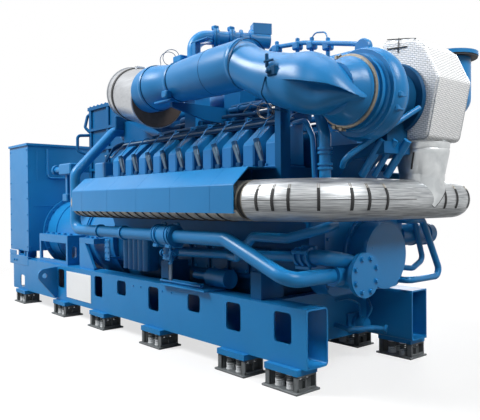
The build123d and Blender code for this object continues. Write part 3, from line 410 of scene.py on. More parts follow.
washer = lathe([(0, 0), (0, 1), (0.18, 1), (0.18, 0)], segments=12)
hexHead = lathe([(0.18, 0), (0.18, 0.8), (0.72, 0.8), (0.85, 0.68), (0.85, 0)], segments=6)
bolt = join([washer, hexHead])  # sized by the washer's radius
paintedBolts = []  # gathered from every stage and built once


def boltsAt(places, facing, size):
    paintedBolts.append(scatter(bolt, places, facing, size))


def boltCircle(centre, axis, radius, count, size, phase=0.0):
    side, up, axis = basisOf(axis)
    boltsAt(centre + radius * arcWays((np.arange(count) + phase) * tau / count, side, up), axis, size)


def boltRow(start, end, count, facing, size):
    boltsAt(np.linspace(start, end, count), facing, size)


def pairedBolts(start, end, count, facing, size):
    # a row on the far side, and its mirror image on the near side
    for side in sides:
        mirror = np.array([1, side, 1])
        boltRow(mirror * start, mirror * end, count, mirror * facing, size)


# Camera, light and floor
view = {"place": (5.369, -3.7004, 1.3374), "yaw": 40.659, "pitch": -0.769, "roll": -0.435}
viewLens = {"lens": 43.94, "sensor_width": 36.0, "sensor_fit": "HORIZONTAL"}


def poseOf(right, up, back, place):
    return Matrix(np.column_stack([right, up, back, place]).tolist() + [[0, 0, 0, 1]])


yaw, pitch, roll = (math.radians(view[k]) for k in ("yaw", "pitch", "roll"))
ahead = np.array([-math.cos(yaw), math.sin(yaw), 0])
right = np.array([math.sin(yaw), math.cos(yaw), 0])
forward = ahead * math.cos(pitch) + zAxis * math.sin(pitch)
upward = zAxis * math.cos(pitch) - ahead * math.sin(pitch)
levelRight = right * math.cos(roll) + upward * math.sin(roll)
levelUp = upward * math.cos(roll) - right * math.sin(roll)
lens = bpy.data.cameras.new("camera")
for setting, value in viewLens.items():
    setattr(lens, setting, value)
camera = addObject("camera", lens)
camera.matrix_world = poseOf(levelRight, levelUp, -forward, view["place"])
bpy.context.scene.camera = camera
bpy.context.scene.view_settings.view_transform = "Standard"

lamps = {
    "nearLamp": {"place": (-2.6, -5.6, 7.4), "aim": (0.0, 0, 1.2), "size": 3.0, "watts": 900, "spread": 180},
    "topLamp": {"place": (0.6, -0.2, 7.8), "aim": (1.0, -0.4, 1.5), "size": 4.0, "watts": 130, "spread": 180},
    "farLamp": {"place": (-1.0, 7.0, 4.6), "aim": (0.0, 0, 1.2), "size": 4.0, "watts": 330, "spread": 180},
    "frontLamp": {"place": (7.2, -0.2, 6.4), "aim": (2.9, 0, 2.2), "size": 3.0, "watts": 42, "spread": 45},
}
for name, lamp in lamps.items():
    light = bpy.data.lights.new(name, "AREA")
    light.size, light.energy, light.spread = lamp["size"], lamp["watts"], math.radians(lamp["spread"])
    away = np.subtract(lamp["place"], lamp["aim"])
    addObject(name, light).matrix_world = poseOf(*basisOf(away), lamp["place"])

# white to the camera and in reflections, a plainer grey as the light on the object
world = bpy.data.worlds.new("studio")
bpy.context.scene.world = world
world.use_nodes = True
tree = world.node_tree
tree.nodes.clear()
rays = addNode(tree, "LightPath", {}).outputs
seen = rays["Is Camera Ray"]
for ray in ("Is Glossy Ray", "Is Transmission Ray"):
    seen = addNode(tree, "Math", {0: seen, 1: rays[ray]}, operation="MAXIMUM").outputs[0]
skyLevel = addNode(tree, "MapRange", {0: seen, 3: 0.15, 4: 1.0})
sky = addNode(tree, "Background", {"Color": linear("#ffffff"), "Strength": skyLevel.outputs[0]})
addNode(tree, "OutputWorld", {"Surface": sky.outputs[0]})

# pale floor that fades out into the white round it
floorSize = {"radius": 9.0, "fadeFrom": 3.6, "fadeTo": 7.5, "glow": 0.7}
paleFloor, tree, place = startFinish("paleFloor")
distance = addNode(tree, "VectorMath", {0: place}, operation="LENGTH").outputs["Value"]
fadeRange = {0: distance, 1: floorSize["fadeFrom"], 2: floorSize["fadeTo"]}
fade = addNode(tree, "MapRange", fadeRange, interpolation_type="SMOOTHSTEP")
ground = addNode(tree, "BsdfDiffuse", {"Color": linear("#9c9c9c")})
rays = addNode(tree, "LightPath", {}).outputs
level = addNode(tree, "Math", {0: rays["Is Camera Ray"], 1: floorSize["glow"]}, operation="MULTIPLY")
glow = addNode(tree, "Emission", {"Color": linear("#ffffff"), "Strength": level.outputs[0]})
ground = addNode(tree, "AddShader", {0: ground.outputs[0], 1: glow.outputs[0]})
clear = addNode(tree, "BsdfTransparent", {})
floorMix = addNode(tree, "MixShader", {0: fade.outputs[0], 1: ground.outputs[0], 2: clear.outputs[0]})
addNode(tree, "OutputMaterial", {"Surface": floorMix.outputs[0]})
r = floorSize["radius"]
floorMesh = bpy.data.meshes.new("floor")
floorMesh.from_pydata([(-r, -r, 0), (r, -r, 0), (r, r, 0), (-r, r, 0)], [], [(0, 1, 2, 3)])
floorMesh.materials.append(paleFloor)
floor = addObject("floor", floorMesh)
print("camera, lamps and floor set")

# Base frame: isolators, bare white plate, rear tabs
railLow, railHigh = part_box("near_rail")
webY = -railLow.y  # outer face of the webs
isolator = {
    "shares": (0.0661, 0.2895, 0.4620, 0.6545, 0.8625, 0.9616),  # along the frame
    "y": 0.689, "plateTop": 0.016, "top": 0.127, "halfLength": 0.1775, "halfWidth": 0.122,
    "springSpacing": 0.115, "rowSpacing": 0.10, "cupRadius": 0.036, "cupHeight": 0.05,
    "coilRadius": 0.029, "coilSunk": 0.012, "wire": 0.0058, "turns": 4.2, "seat": 0.0125,
    "bracketOut": 0.1655, "bracketIn": 0.1155, "bracketHalf": 0.095, "sheet": 0.012,
    "nutX": 0.1265, "nutY": 0.034, "nutZ": 0.104, "nut": 0.017,
}
footX = [railLow.x + share * (railHigh.x - railLow.x) for share in isolator["shares"]]
footAt = np.array([(x, side * isolator["y"], 0) for x in footX for side in sides])


def aroundFeet(dx, dy, z):
    # four places about the middle of each foot, all at one height
    offsets = np.array([(end * dx, row * dy, z) for end in sides for row in sides])
    return (footAt[:, None] + offsets).reshape(-1, 3)


def onSprings(shape, z):
    return scatter(shape, aroundFeet(isolator["springSpacing"] / 2, isolator["rowSpacing"] / 2, z))


cupShares = [(0, 0), (0, 1.0), (0.16, 1.0), (0.2, 0.93), (0.92, 0.93), (0.96, 1.0), (1.0, 0.97), (0.98, 0.84)]
cupShares += [(0.8, 0.82), (0.8, 0)]  # of the cup's height and radius
cup = lathe(np.multiply(cupShares, (isolator["cupHeight"], isolator["cupRadius"])), segments=24)
seat = lathe([(0, 0), (0, 0.036), (0.008, 0.036), (0.012, 0.03), (0.012, 0)], segments=20)
springShapes = [onSprings(cup, isolator["plateTop"]), onSprings(seat, isolator["top"] - isolator["seat"])]
buildPiece("spring_cups", springShapes, cupSteel, "isolator_springs")
coilFoot = isolator["plateTop"] + isolator["cupHeight"] - isolator["coilSunk"]
t = np.linspace(0, 1, 64)
coilPath = isolator["coilRadius"] * arcWays(t * isolator["turns"] * tau, xAxis, yAxis)
coilPath[:, 2] = t * (isolator["top"] - isolator["wire"] - coilFoot)
coils = onSprings(tube(coilPath, isolator["wire"], 7), coilFoot)
buildPiece("spring_coils", [coils], isolatorIron)

# one foot about its own middle: plate, and a bracket at each end that is open outwards
low, top, half = isolator["plateTop"], isolator["top"], isolator["bracketHalf"]
plateEnd = np.array([isolator["halfLength"], isolator["halfWidth"], 0])
footShapes = [box(-plateEnd, plateEnd + [0, 0, low], 0.003)]
for end in sides:
    outer, inner, thick = end * isolator["bracketOut"], end * isolator["bracketIn"], isolator["sheet"]
    bracket = {
        "back": ((inner, -half, low), (inner + end * 0.009, half, top)),
        "roof": ((inner, -half, top - thick), (outer, half, top)),
        "sill": ((outer, -half, low), (outer - end * 0.009, half, 0.036)),
        "rib": ((inner, -thick / 2, low), (outer - end * thick, thick / 2, 0.08)),
        "near cheek": ((inner, -half, low), (outer, thick - half, top)),
        "far cheek": ((inner, half - thick, low), (outer, half, top)),
    }
    footShapes += [box(*corners, 0.002) for corners in bracket.values()]
footPoints, footFaces = join(footShapes)
feet = [(footPoints + place, footFaces) for place in footAt]
buildPiece("isolator_feet", feet, isolatorIron, "isolator_bases")
nutAt = aroundFeet(isolator["nutX"], isolator["nutY"], isolator["nutZ"])
brightNuts = scatter(bolt, nutAt, -zAxis, isolator["nut"])

plate = {"rear": -1.228, "front": -0.603, "bottom": 0.23, "top": 0.539, "thick": 0.004}
plateLow = (plate["rear"], -webY - plate["thick"], plate["bottom"])
plateHigh = (plate["front"], -webY, plate["top"])
buildPiece("bare_plate", [box(plateLow, plateHigh, 0.0015)], whitePlate)

tab = {
    "rear": -3.11, "front": -2.44, "bottom": 0.50, "step": 0.632, "top": 0.693, "slotRear": -2.87,
    "end": 0.05, "y": 0.751, "back": 0.739, "ledge": 0.689, "ledgeLow": 0.60, "ledgeHigh": 0.612,
}
tabShapes = []
for side in sides:
    y, back = side * tab["y"], side * tab["back"]
    tabShapes += [
        box((tab["rear"], y, tab["bottom"]), (tab["front"], back, tab["step"])),
        box((tab["rear"], y, tab["step"]), (tab["slotRear"], back, tab["top"])),
        box((tab["front"] - tab["end"], y, tab["step"]), (tab["front"], back, tab["top"])),
        box((tab["rear"], side * tab["ledge"], tab["ledgeLow"]), (tab["front"], back, tab["ledgeHigh"])),
    ]
buildPiece("rear_tabs", tabShapes, sheetEnamel)
pairedBolts((-2.93, tab["y"], 0.56), (-2.84, tab["y"], 0.56), 2, yAxis, 0.016)
pairedBolts((0.305, webY, 0.522), (0.45, webY, 0.524), 2, yAxis, 0.009)
pairedBolts((0.826, webY, 0.526), (0.976, webY, 0.528), 2, yAxis, 0.009)
print("frame dressed")

# Alternator: cabinet edges, conduit, vents, screws, and the drum's bolts
cabinetLow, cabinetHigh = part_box("alternator_cabinet")
cabinet = {"screwStep": 0.19, "screw": 0.011, "inset": 0.03, "endGap": 0.06}
rows = int((cabinetHigh.z - cabinetLow.z) / cabinet["screwStep"])
wall, face, inset = cabinetHigh.y, cabinetHigh.x, cabinet["inset"]
screwRows = ((cabinetLow.x + inset, wall, yAxis), (face - inset, wall, yAxis), (face, wall - inset, xAxis))
for x, y, facing in screwRows:
    ends = [(x, y, z) for z in (cabinetLow.z + cabinet["endGap"], cabinetHigh.z - cabinet["endGap"])]
    pairedBolts(*ends, rows, facing, cabinet["screw"])
run = face + 0.012
cabinetTrim = {
    "conduit": (pipe, [(run, -0.433, 2.09), (run, -0.433, 1.693), (run, -0.12, 1.693)], 0.06, 0.012),
    "upright": (box, (face, -0.585, 1.66), (face + 0.008, -0.565, 2.07), 0.003),
    "level": (box, (face, -0.62, 1.30), (face + 0.006, 0.62, 1.312), 0.002),
}
vent = {"inner": 0.08, "outer": 0.58, "low": 0.002, "high": 0.02, "bottom": 1.2, "blades": 12, "step": 0.045}
ventShapes = []
for side in sides:
    for z in vent["bottom"] + np.arange(vent["blades"]) * vent["step"]:
        low = (cabinetLow.x + vent["low"], side * vent["inner"], z)
        ventShapes.append(box(low, (cabinetLow.x + vent["high"], side * vent["outer"], z + 0.03), 0.004))
buildPiece("cabinet_trim", shapesOf(cabinetTrim) + ventShapes, sheetEnamel)

drum = {
    "z": 0.93, "radius": 0.45, "bands": (-2.2, -1.335), "boltRadius": 0.475, "flange": -2.495, "hub": -1.015,
}
bands = [ring(drum["radius"], 0.03, 0.012, (x, 0, drum["z"]), xAxis, 72) for x in drum["bands"]]
buildPiece("stator_bands", bands, sheetEnamel)
boltCircle((drum["flange"], 0, drum["z"]), xAxis, drum["boltRadius"], 28, 0.014)
boltCircle((drum["hub"], 0, drum["z"]), -xAxis, drum["boltRadius"], 24, 0.015)
pairedBolts((-2.08, 0.62, 0.95), (-1.38, 0.62, 0.95), 5, zAxis, 0.024)
pairedBolts((-2.1, 0.6, 0.607), (-1.36, 0.6, 0.607), 7, zAxis, 0.018)
pairedBolts((-0.94, 0.62, 0.94), (-0.70, 0.62, 0.94), 3, zAxis, 0.022)
print("alternator dressed")

# Cylinder banks: covers with their flanges, plug tubes, side doors
bank = {"first": -0.263, "pitch": 0.268, "count": 10}
cylinderX = bank["first"] + np.arange(bank["count"]) * bank["pitch"]
cover = {
    "length": 0.146, "back": 0.079, "inset": 0.004, "bolt": 0.055,
    "loop": (
        (0.315, 1.612), (0.612, 1.612), (0.612, 1.785), (0.596, 1.812),
        (0.436, 1.948), (0.415, 1.956), (0.322, 1.956),
    ),
    "flange": ((0.31, 1.60), (0.62, 1.616)),
}
for side, word in sides.items():
    shapes = []
    for rear in cylinderX - cover["back"]:
        loop = [(rear + cover["inset"], side * y, z) for y, z in cover["loop"]]
        shapes.append(prism(loop, (cover["length"] - 2 * cover["inset"], 0, 0), 0.014))
        (y0, z0), (y1, z1) = cover["flange"]
        shapes.append(box((rear, side * y0, z0), (rear + cover["length"], side * y1, z1), 0.004))
    buildPiece(word + "_covers", shapes, castEnamel, word + "_rocker_covers", 22)
for shift in (-cover["bolt"], cover["bolt"]):
    ends = [(x + shift, 0.6165, 1.625) for x in (cylinderX[0], cylinderX[-1])]
    pairedBolts(*ends, bank["count"], yAxis, 0.011)

plug = {
    "topX": 0.09, "footX": 0.15, "y": 0.60, "topZ": 1.80, "footZ": 1.655, "radii": (0.026, 0.0221, 0.016),
    "boot": 0.024, "bootShare": 0.22, "lead": 0.0055, "leadShare": 0.2, "leadX": 0.06,
}
plugShapes, bootShapes, leadShapes = [], [], []
for side in sides:
    for x in cylinderX:
        top = np.array([x + plug["topX"], side * plug["y"], plug["topZ"]])
        foot = np.array([x + plug["footX"], side * plug["y"], plug["footZ"]])
        plugShapes.append(tube(np.linspace(top, foot, 3), plug["radii"], 14))
        bootShapes.append(tube([top, top + (top - foot) * plug["bootShare"]], plug["boot"], 10))
        bootShapes.append(box(foot - [0.03, 0.025, 0.06], foot + [0.03, 0.015, 0.004]))
        start, end = x + plug["leadX"], top + (top - foot) * plug["leadShare"]
        lead = [(start, side * 0.385, 2.03), (start, side * 0.46, 2.0), end]
        leadShapes.append(pipe(lead, 0.03, plug["lead"], 8, 6))
buildPiece("plug_tubes", plugShapes, plugSteel)
buildPiece("plug_boots", bootShapes, deepEnamelAndShade)

loom = {"z": 2.035, "y": (0.325, 0.352, 0.38), "radius": 0.010, "rear": -0.40, "front": 2.28, "drop": 0.012}
loomShapes, clipShapes = [], []
s = np.linspace(loom["rear"], loom["front"], 60)
for side in sides:
    for k, y in enumerate(loom["y"]):
        wave = 0.006 * np.sin(s * 7 + 2 * k)
        path = np.column_stack([s, side * y + wave * 0.6, loom["z"] + wave])
        loomShapes.append(tube(path, loom["radius"], 8))
    for x in cylinderX:
        clipShapes.append(box((x - 0.014, side * 0.305, 2.015), (x + 0.014, side * 0.40, 2.056), 0.004))
for k in range(3):
    drop = [(-0.36, -0.34 - 0.02 * k, 2.035), (-0.58, -0.42 - 0.02 * k, 1.97)]
    drop += [(-0.70, -0.50, 1.86 - 0.03 * k), (-0.64 + 0.03 * k, -0.53, 1.70)]
    loomShapes.append(pipe(drop, 0.06, loom["drop"], 8))
railCorners = [(-0.86, -0.42, 1.89), (-0.70, -0.42, 1.86), (-0.42, -0.42, 1.985), (2.2, -0.42, 1.985)]
buildPiece("ignition_leads", loomShapes, deepEnamelAndShade)
buildPiece("plug_leads", leadShapes, castEnamel)
buildPiece("loom_clips", clipShapes, castEnamel)
buildPiece("conduit_rail", [pipe(railCorners, 0.08, 0.009)], greyConduit)

door = {
    "y": 0.46, "face": 0.482, "half": 0.1075, "bottom": 0.735, "top": 0.965, "boltX": 0.0855, "boltZ": 0.025,
    "nearFrom": 0.45,
}
doorShapes = []
for side in sides:
    for x in cylinderX:
        if side < 0 and x < door["nearFrom"]:
            continue  # the oil filter block stands there
        face = side * door["face"]
        low = (x - door["half"], side * door["y"], door["bottom"])
        doorShapes.append(box(low, (x + door["half"], face, door["top"]), 0.008))
        heights = (door["bottom"] + door["boltZ"], door["top"] - door["boltZ"])
        boltsAt([(x + k * door["boltX"], face, z) for k in sides for z in heights], side * yAxis, 0.014)
# the doors take the darker paint: painted shade under the casings
buildPiece("crankcase_doors", doorShapes, paintedShadeEnamel)
rearBox = {
    "body": (box, (-0.745, -0.62, 1.60), (-0.50, -0.36, 1.79), 0.014),
    "foot": (box, (-0.52, -0.60, 1.60), (-0.388, -0.44, 1.64)),
}
buildPiece("rear_box", shapesOf(rearBox), castEnamel)
print("banks dressed")

# Exhaust casings: folded sheets with a narrow gap between them
casing = {
    "seams": (-0.27, -0.05, 0.47, 0.99, 1.505, 2.02, 2.283),
    "gap": 0.0025,
    "outer": (
        (1.092, 1.264), (1.112, 1.26), (1.112, 1.455), (1.1085, 1.463),
        (0.975, 1.585), (0.965, 1.59), (0.70, 1.59),
    ),
    "inner": (
        (1.092, 1.27), (1.106, 1.267), (1.106, 1.452), (1.104, 1.458),
        (0.973, 1.579), (0.963, 1.584), (0.70, 1.584),
    ),
}
for side, word in sides.items():
    sheets = []
    for rear, front in zip(casing["seams"], casing["seams"][1:]):
        start = rear + casing["gap"] / 2
        skins = [[(start, side * y, z) for y, z in casing[name]] for name in ("outer", "inner")]
        sheets.append(sheet(*skins, (front - rear - casing["gap"], 0, 0)))
    buildPiece(word + "_casing_sheets", sheets, sheetEnamel, word + "_exhaust_casing", 20)
pairedBolts((-0.2, 0.73, 1.59), (2.22, 0.73, 1.59), 19, zAxis, 0.010)

# slanted dark bands round the wrapped manifolds
manifold = {"y": 0.95, "z": 1.348, "radius": 0.1475, "from": -0.20, "to": 2.22, "step": 0.128, "slant": 0.55}
bandShapes = []
for side in sides:
    loop = manifold["radius"] * arcWays(fullTurn(40), yAxis - side * manifold["slant"] * xAxis, zAxis)
    for x in np.arange(manifold["from"], manifold["to"], manifold["step"]):
        bandShapes.append(tube(loop + [x, side * manifold["y"], manifold["z"]], 0.0065, 6, True))
buildPiece("manifold_bands", bandShapes, blackStrap)

# Crossover: foil-clad pipe, its straps and seam, and the riser that runs into it in a point
cross = {
    "rear": 2.283, "front": 2.925, "y": 0.95, "z": 1.348, "radius": 0.1445, "bend": 0.45, "collar": 0.05,
    "straps": (0.207, 0.308, 0.396, 0.544, 0.712, 0.812, 0.963, 1.686, 1.851, 2.033, 2.2, 2.3, 2.4),
    "strapWidth": 0.02, "strapThick": 0.004, "strapFrom": -28, "strapTo": 31, "wireTo": 46, "lift": 0.001,
}
riser = {
    "y": 0.2, "top": 1.765, "radius": 0.163, "turn": math.radians(-26.0), "points": 72,
    "saddleLow": 1.285, "saddleRise": 0.155, "inside": 1.36,
    "foot": ((0.0, 0.163), (0.40, 0.163)),  # shares of the height over the saddle, with radii
    "flare": ((0.45, 0.166), (0.80, 0.195), (0.86, 0.1985), (0.885, 0.1955), (0.91, 0.1995), (1.0, 0.1995)),
}


def onRiser(radius, angles, z):
    # points round the riser's upright axis
    x, y = cross["front"] + radius * np.cos(angles), riser["y"] + radius * np.sin(angles)
    return np.column_stack([x, y, z])


def saddleZ(angles):
    # the riser's foot dips to a point in front and behind
    return riser["saddleLow"] + riser["saddleRise"] * np.abs(np.sin(angles))


a = fullTurn(riser["points"])
dip = saddleZ(a - riser["turn"])
level = np.full_like(a, cross["z"])
rings = [onRiser(0, a, np.full_like(a, riser["inside"]))]
for base, knots in ((dip, riser["foot"]), (level, riser["flare"])):
    rings += [onRiser(radius, a, base + share * (riser["top"] - base)) for share, radius in knots]
rings.append(onRiser(0, a, np.full_like(a, riser["top"])))
buildPiece("riser_cladding", [skin(np.array(rings))], riserFoil)

crossEnds = [(cross["rear"], side * cross["y"], cross["z"]) for side in sides]
crossFront = [(cross["front"], side * cross["y"], cross["z"]) for side in sides]
crossPath = bentPath([crossEnds[0], *crossFront, crossEnds[1]], cross["bend"], 28)
crossRun = np.concatenate([[0], np.cumsum(np.linalg.norm(np.diff(crossPath, axis=0), axis=1))])
collarEnds = np.add(crossEnds, (cross["collar"], 0, 0))
lips = [[end, end + 0.012 * xAxis] for end in collarEnds]
cladPath = np.concatenate([lips[0], crossPath[1:-1], lips[1][::-1]])
cladRadius = np.full(len(cladPath), cross["radius"])
cladRadius[[0, -1]] -= 0.014
buildPiece("crossover_cladding", [tube(cladPath, cladRadius, 56)], foilCladding, "exhaust_crossover")
# black collars where the pipe leaves the casings: partly the bare pipe, partly painted shade in the gap
# before the foil starts
collarLength = cross["collar"] + 0.01
collarProfile = [(0, 0), (0, 0.132), (collarLength, 0.126), (collarLength, 0)]
buildPiece("crossover_collars", [lathe(collarProfile, end, xAxis, 48) for end in crossEnds], blackStrap)


def crossFrame(run, step=0.01):
    # middle of the pipe at a length along it, the way it runs there, and the level way outwards
    places = [[np.interp(r, crossRun, row) for row in crossPath.T] for r in (run - step, run, run + step)]
    before, middle, after = (np.stack(place, -1) for place in places)
    way = unit(after - before)
    return middle, way, np.stack([way[..., 1], -way[..., 0], 0 * way[..., 0]], -1)


strapShapes = []
wireShapes = [ring(0.140, 0.006, 0.007, end + 0.01 * xAxis, xAxis, 56) for end in collarEnds]
for run in cross["straps"]:
    middle, way, outwards = crossFrame(run)
    half = way * cross["strapWidth"] / 2
    rays = arcWays(np.radians(np.linspace(cross["strapFrom"], cross["strapTo"], 16)), outwards, zAxis)
    inner = middle + (cross["radius"] + cross["lift"]) * rays
    outer = inner + cross["strapThick"] * rays
    strapShapes.append(capped(np.stack([inner - half, outer - half, outer + half, inner + half], 1)))
    rays = arcWays(np.radians(np.linspace(cross["strapTo"], cross["wireTo"], 6)), outwards, zAxis)
    wire = middle + (cross["radius"] + 2 * cross["lift"]) * rays
    wireShapes += [tube(wire + way * shift, 0.0018, 6) for shift in (-0.006, 0.006)]
seamRun = np.linspace(0.07, 1.30, 60)
middle, way, outwards = crossFrame(seamRun, seamRun[1] - seamRun[0])
turn = np.linspace(-1.5, 1.5, 40)
slotTurn = np.radians(np.linspace(-83, -74.5, 6))
strapShapes += [
    tube(middle + outwards * (cross["radius"] + 0.0005), 0.0022, 6),
    tube(onRiser(np.linspace(0.1745, 0.1965, 6), slotTurn, np.linspace(1.567, 1.688, 6)), 0.007, 6),
    tube(onRiser(riser["radius"] + 0.0007, turn + riser["turn"], saddleZ(turn)), 0.0022, 6),
]
buildPiece("cladding_straps", strapShapes, blackStrap)
buildPiece("strap_wires", wireShapes, clampSteel)

# Turbine jacket: quilted mat over the hood's outline, rounded at the corners, welted at the edge
jacket = {
    "near": -0.05, "far": 0.39, "bends": 0.045, "edge": 0.03, "halfWidth": 0.33, "welt": 0.012,
    "corners": ((2.75, 1.765), (3.125, 1.765), (3.215, 2.19), (3.105, 2.42), (3.02, 2.49), (2.75, 2.53)),
}
corners = [(x, 0, z) for x, z in jacket["corners"]]
outline = bentPath([corners[-1], *corners, corners[0]], jacket["bends"], 8)[1:-1]
middle = outline.mean(0)
rim = np.linspace(0, math.pi / 2, 6)
insets = [0, 0.3, 0.55, 0.75, 0.88, *(1 - jacket["edge"] / jacket["halfWidth"] * (1 - np.sin(rim)))]
pillow = [0.0, 0.0, 0.0, 0.0005, 0.001, *(0.001 + jacket["edge"] * (1 - np.cos(rim)))]
rows = np.array([middle + s * (outline - middle) for s in insets])
nearRows = rows + np.add(jacket["near"], pillow)[:, None, None] * yAxis
farRows = rows + np.subtract(jacket["far"], pillow)[:, None, None] * yAxis
buildPiece("turbine_jacket", [skin(np.concatenate([nearRows, farRows[::-1]]))], quiltedFoil, "turbine_hood")
weltPath = middle + 0.98 * (np.concatenate([outline, outline[:1]]) - middle)
weltY = (jacket["near"] + jacket["welt"], jacket["far"] - jacket["welt"])
buildPiece("jacket_welts", [tube(weltPath + y * yAxis, 0.0055, 6) for y in weltY], foilCladding)
hooks = {
    "upright": (tube, [(2.90, -0.054, 2.515), (2.895, -0.056, 2.47), (2.89, -0.054, 2.41)], 0.0035, 6),
    "level": (tube, [(2.80, -0.054, 2.455), (2.88, -0.057, 2.445), (2.965, -0.054, 2.44)], 0.005, 6),
    "edge": (tube, [(2.79, -0.04, 2.527), (2.95, -0.04, 2.502), (3.03, -0.04, 2.485)], 0.004, 6),
}
buildPiece("jacket_hooks", shapesOf(hooks), blackStrap)
turbo = {"x": 2.866, "z": 2.07, "clampY": -0.60, "clampRadius": 0.25, "ribRadius": 0.31, "ribs": (-8, -24)}


def atTurbo(y, radius=0.0, degrees=0.0):
    # a place round the turbocharger's level axis
    a = math.radians(degrees)
    return np.array([turbo["x"] + radius * math.cos(a), y, turbo["z"] + radius * math.sin(a)])


# dark disc on the hood's near face round the bearing: painted shade in the gap between the volute and the
# hood
jointProfile = [(0.0, 0.0), (0.0, 0.25), (0.02, 0.26), (0.045, 0.25), (0.045, 0.0)]
buildPiece("turbine_joint", [lathe(jointProfile, atTurbo(-0.049), -yAxis, 48)], deepEnamelAndShade)
print("exhaust dressed")

# Compressor: lug and ribs on the volute, clip on the clamp, oil tube
backProfile = [(0, 0), (0, 0.25), (0.012, 0.262), (0.035, 0.262), (0.045, 0.25), (0.045, 0)]
lugProfile = [(0, 0), (0, 0.058), (0.012, 0.066), (0.038, 0.066), (0.05, 0.058), (0.05, 0)]
volute = {
    "rim": (ring, 0.245, 0.05, 0.05, atTurbo(-0.47), -yAxis, 72),
    "step": (ring, 0.233, 0.03, 0.022, atTurbo(-0.545), -yAxis, 72),
    "back": (lathe, backProfile, atTurbo(-0.262), -yAxis, 64),
    "lug": (lathe, lugProfile, (2.85, -0.375, 2.395), -yAxis, 32),
}
voluteShapes = shapesOf(volute)
for degrees in turbo["ribs"]:
    place = atTurbo(-0.40, turbo["ribRadius"], degrees)
    voluteShapes.append(box(place - [0.03, 0.06, 0.022], place + [0.012, 0.02, 0.022], 0.01))
buildPiece("volute_ribs", voluteShapes, castEnamel)
bandHalf = [(-0.011, 0.22), (-0.011, 0.241), (-0.006, 0.247)]
bandProfile = bandHalf + [(-h, r) for h, r in reversed(bandHalf)]
clampShapes = [lathe(bandProfile, atTurbo(turbo["clampY"]), -yAxis, 96, True)]
for degrees in (116, 252):
    place = atTurbo(turbo["clampY"], turbo["clampRadius"], degrees)
    along = np.cross(place - atTurbo(turbo["clampY"]), yAxis) / turbo["clampRadius"]
    clampShapes += [block(place + along * k * 0.03, (0.012, 0.02, 0.014), 0.004) for k in sides]
    clampShapes.append(tube([place - along * 0.065, place + along * 0.065], 0.007, 8))
buildPiece("clamp_band", clampShapes, clampSteel, "compressor_clamp")
oilRun = [(3.085, -0.085, 1.985), (3.02, -0.30, 1.86), (2.80, -0.55, 1.63), (2.74, -0.50, 1.58)]
oilTube = {
    "tube": (pipe, oilRun, 0.08, 0.021, 12),
    "near strut": (tube, [(2.76, -0.31, 1.52), (2.94, -0.31, 1.76)], 0.03),
    "middle strut": (tube, [(2.80, -0.22, 1.52), (2.98, -0.22, 1.76)], 0.022),
    "far strut": (tube, [(2.84, -0.13, 1.52), (3.02, -0.13, 1.76)], 0.03),
}
buildPiece("oil_tube", shapesOf(oilTube), castEnamel)

# Inlet casing: ellipses along its reach, with an overhanging crease on the near side
inlet = {
    "rear": 2.045, "reach": 1.03, "y": -0.77, "z": 2.38, "radius": 0.188, "shift": 0.07, "drop": 0.38,
    "places": (0.0, 0.146, 0.447, 0.728, 0.942, 1.0),
    "widths": (1.0, 1.0, 1.05, 1.0, 0.62, 0.28),
    "heights": (1.0, 0.97, 1.06, 1.05, 0.36, 0.05),
    "shifts": (0.0, 0.0, 0.1, 0.2, 0.6, 0.8),
    "drops": (0.03, 0.25, 0.55, 0.71, 0.89, 1.0),
    "creaseFrom": 0.54, "creaseFull": 0.76, "creaseDepth": 0.46, "creaseWidth": 0.8, "farFlat": -0.616,
    "lip": 0.035, "lipWidth": 0.2,
}
s = np.concatenate([np.linspace(0, 0.7, 40)[:-1], np.linspace(0.7, 1, 30)])[:, None]
curves = ("shifts", "drops", "widths", "heights")
shift, drop, width, height = (smoothValues(inlet["places"], inlet[name], s) for name in curves)
a = np.linspace(0, tau, 96)  # from just over the crease, over the top, round to just under it
grow = np.clip((s - inlet["creaseFrom"]) / (inlet["creaseFull"] - inlet["creaseFrom"]), 0, 1)
grow = grow**2 * (3 - 2 * grow)
hollow = inlet["creaseDepth"] * grow * np.exp(-(((tau - a) / inlet["creaseWidth"]) ** 2))
lip = inlet["lip"] * grow * np.exp(-((a / inlet["lipWidth"]) ** 2))
swell = inlet["radius"] * (1 - hollow + lip)
x = inlet["rear"] + inlet["reach"] * s + 0 * a
y = np.minimum(inlet["y"] + inlet["shift"] * shift - width * np.cos(a) * swell, inlet["farFlat"])
z = inlet["z"] - inlet["drop"] * drop + height * np.sin(a) * swell
neckProfile = [(0, 0), (0, 0.228), (0.03, 0.228), (0.04, 0.215), (0.10, 0.20), (0.15, 0.17), (0.15, 0)]
hornShapes = [capped(np.stack([x, y, z], -1)), lathe(neckProfile, atTurbo(turbo["clampY"]), -yAxis, 64)]
buildPiece("inlet_horn", hornShapes, castEnamel, "inlet_casing", 40)

# Intake duct: rolled tube with beads, cut off square to the leaning sleeve
duct = {
    "y": -0.77, "z": 2.38,
    "places": (0.62, 0.80, 0.86, 1.085, 1.40, 1.70, 2.05),
    "radii": (0.202, 0.202, 0.198, 0.168, 0.178, 0.188, 0.188),
    "beads": (0.822, 1.169, 2.03), "beadHeight": 0.007, "beadWidth": 0.016,
    "gaskets": ((0.1665, 0.008, 0.006, 1.192), (0.199, 0.007, 0.006, 0.845), (0.1865, 0.003, 0.0025, 1.68)),
}
sleeve = {"front": (0.715, -0.70, 2.295), "turn": 10.0, "tilt": 14.0, "length": 0.72, "radius": 0.262}
turn, tilt = math.radians(sleeve["turn"]), math.radians(sleeve["tilt"])
sleeveWay = np.array([-math.cos(turn) * math.cos(tilt), math.sin(turn) * math.cos(tilt), math.sin(tilt)])
s = np.linspace(duct["places"][0], duct["places"][-1], 150)
radii = smoothValues(duct["places"], duct["radii"], s)
for bead in duct["beads"]:
    radii = radii + duct["beadHeight"] * np.exp(-(((s - bead) / duct["beadWidth"]) ** 2))
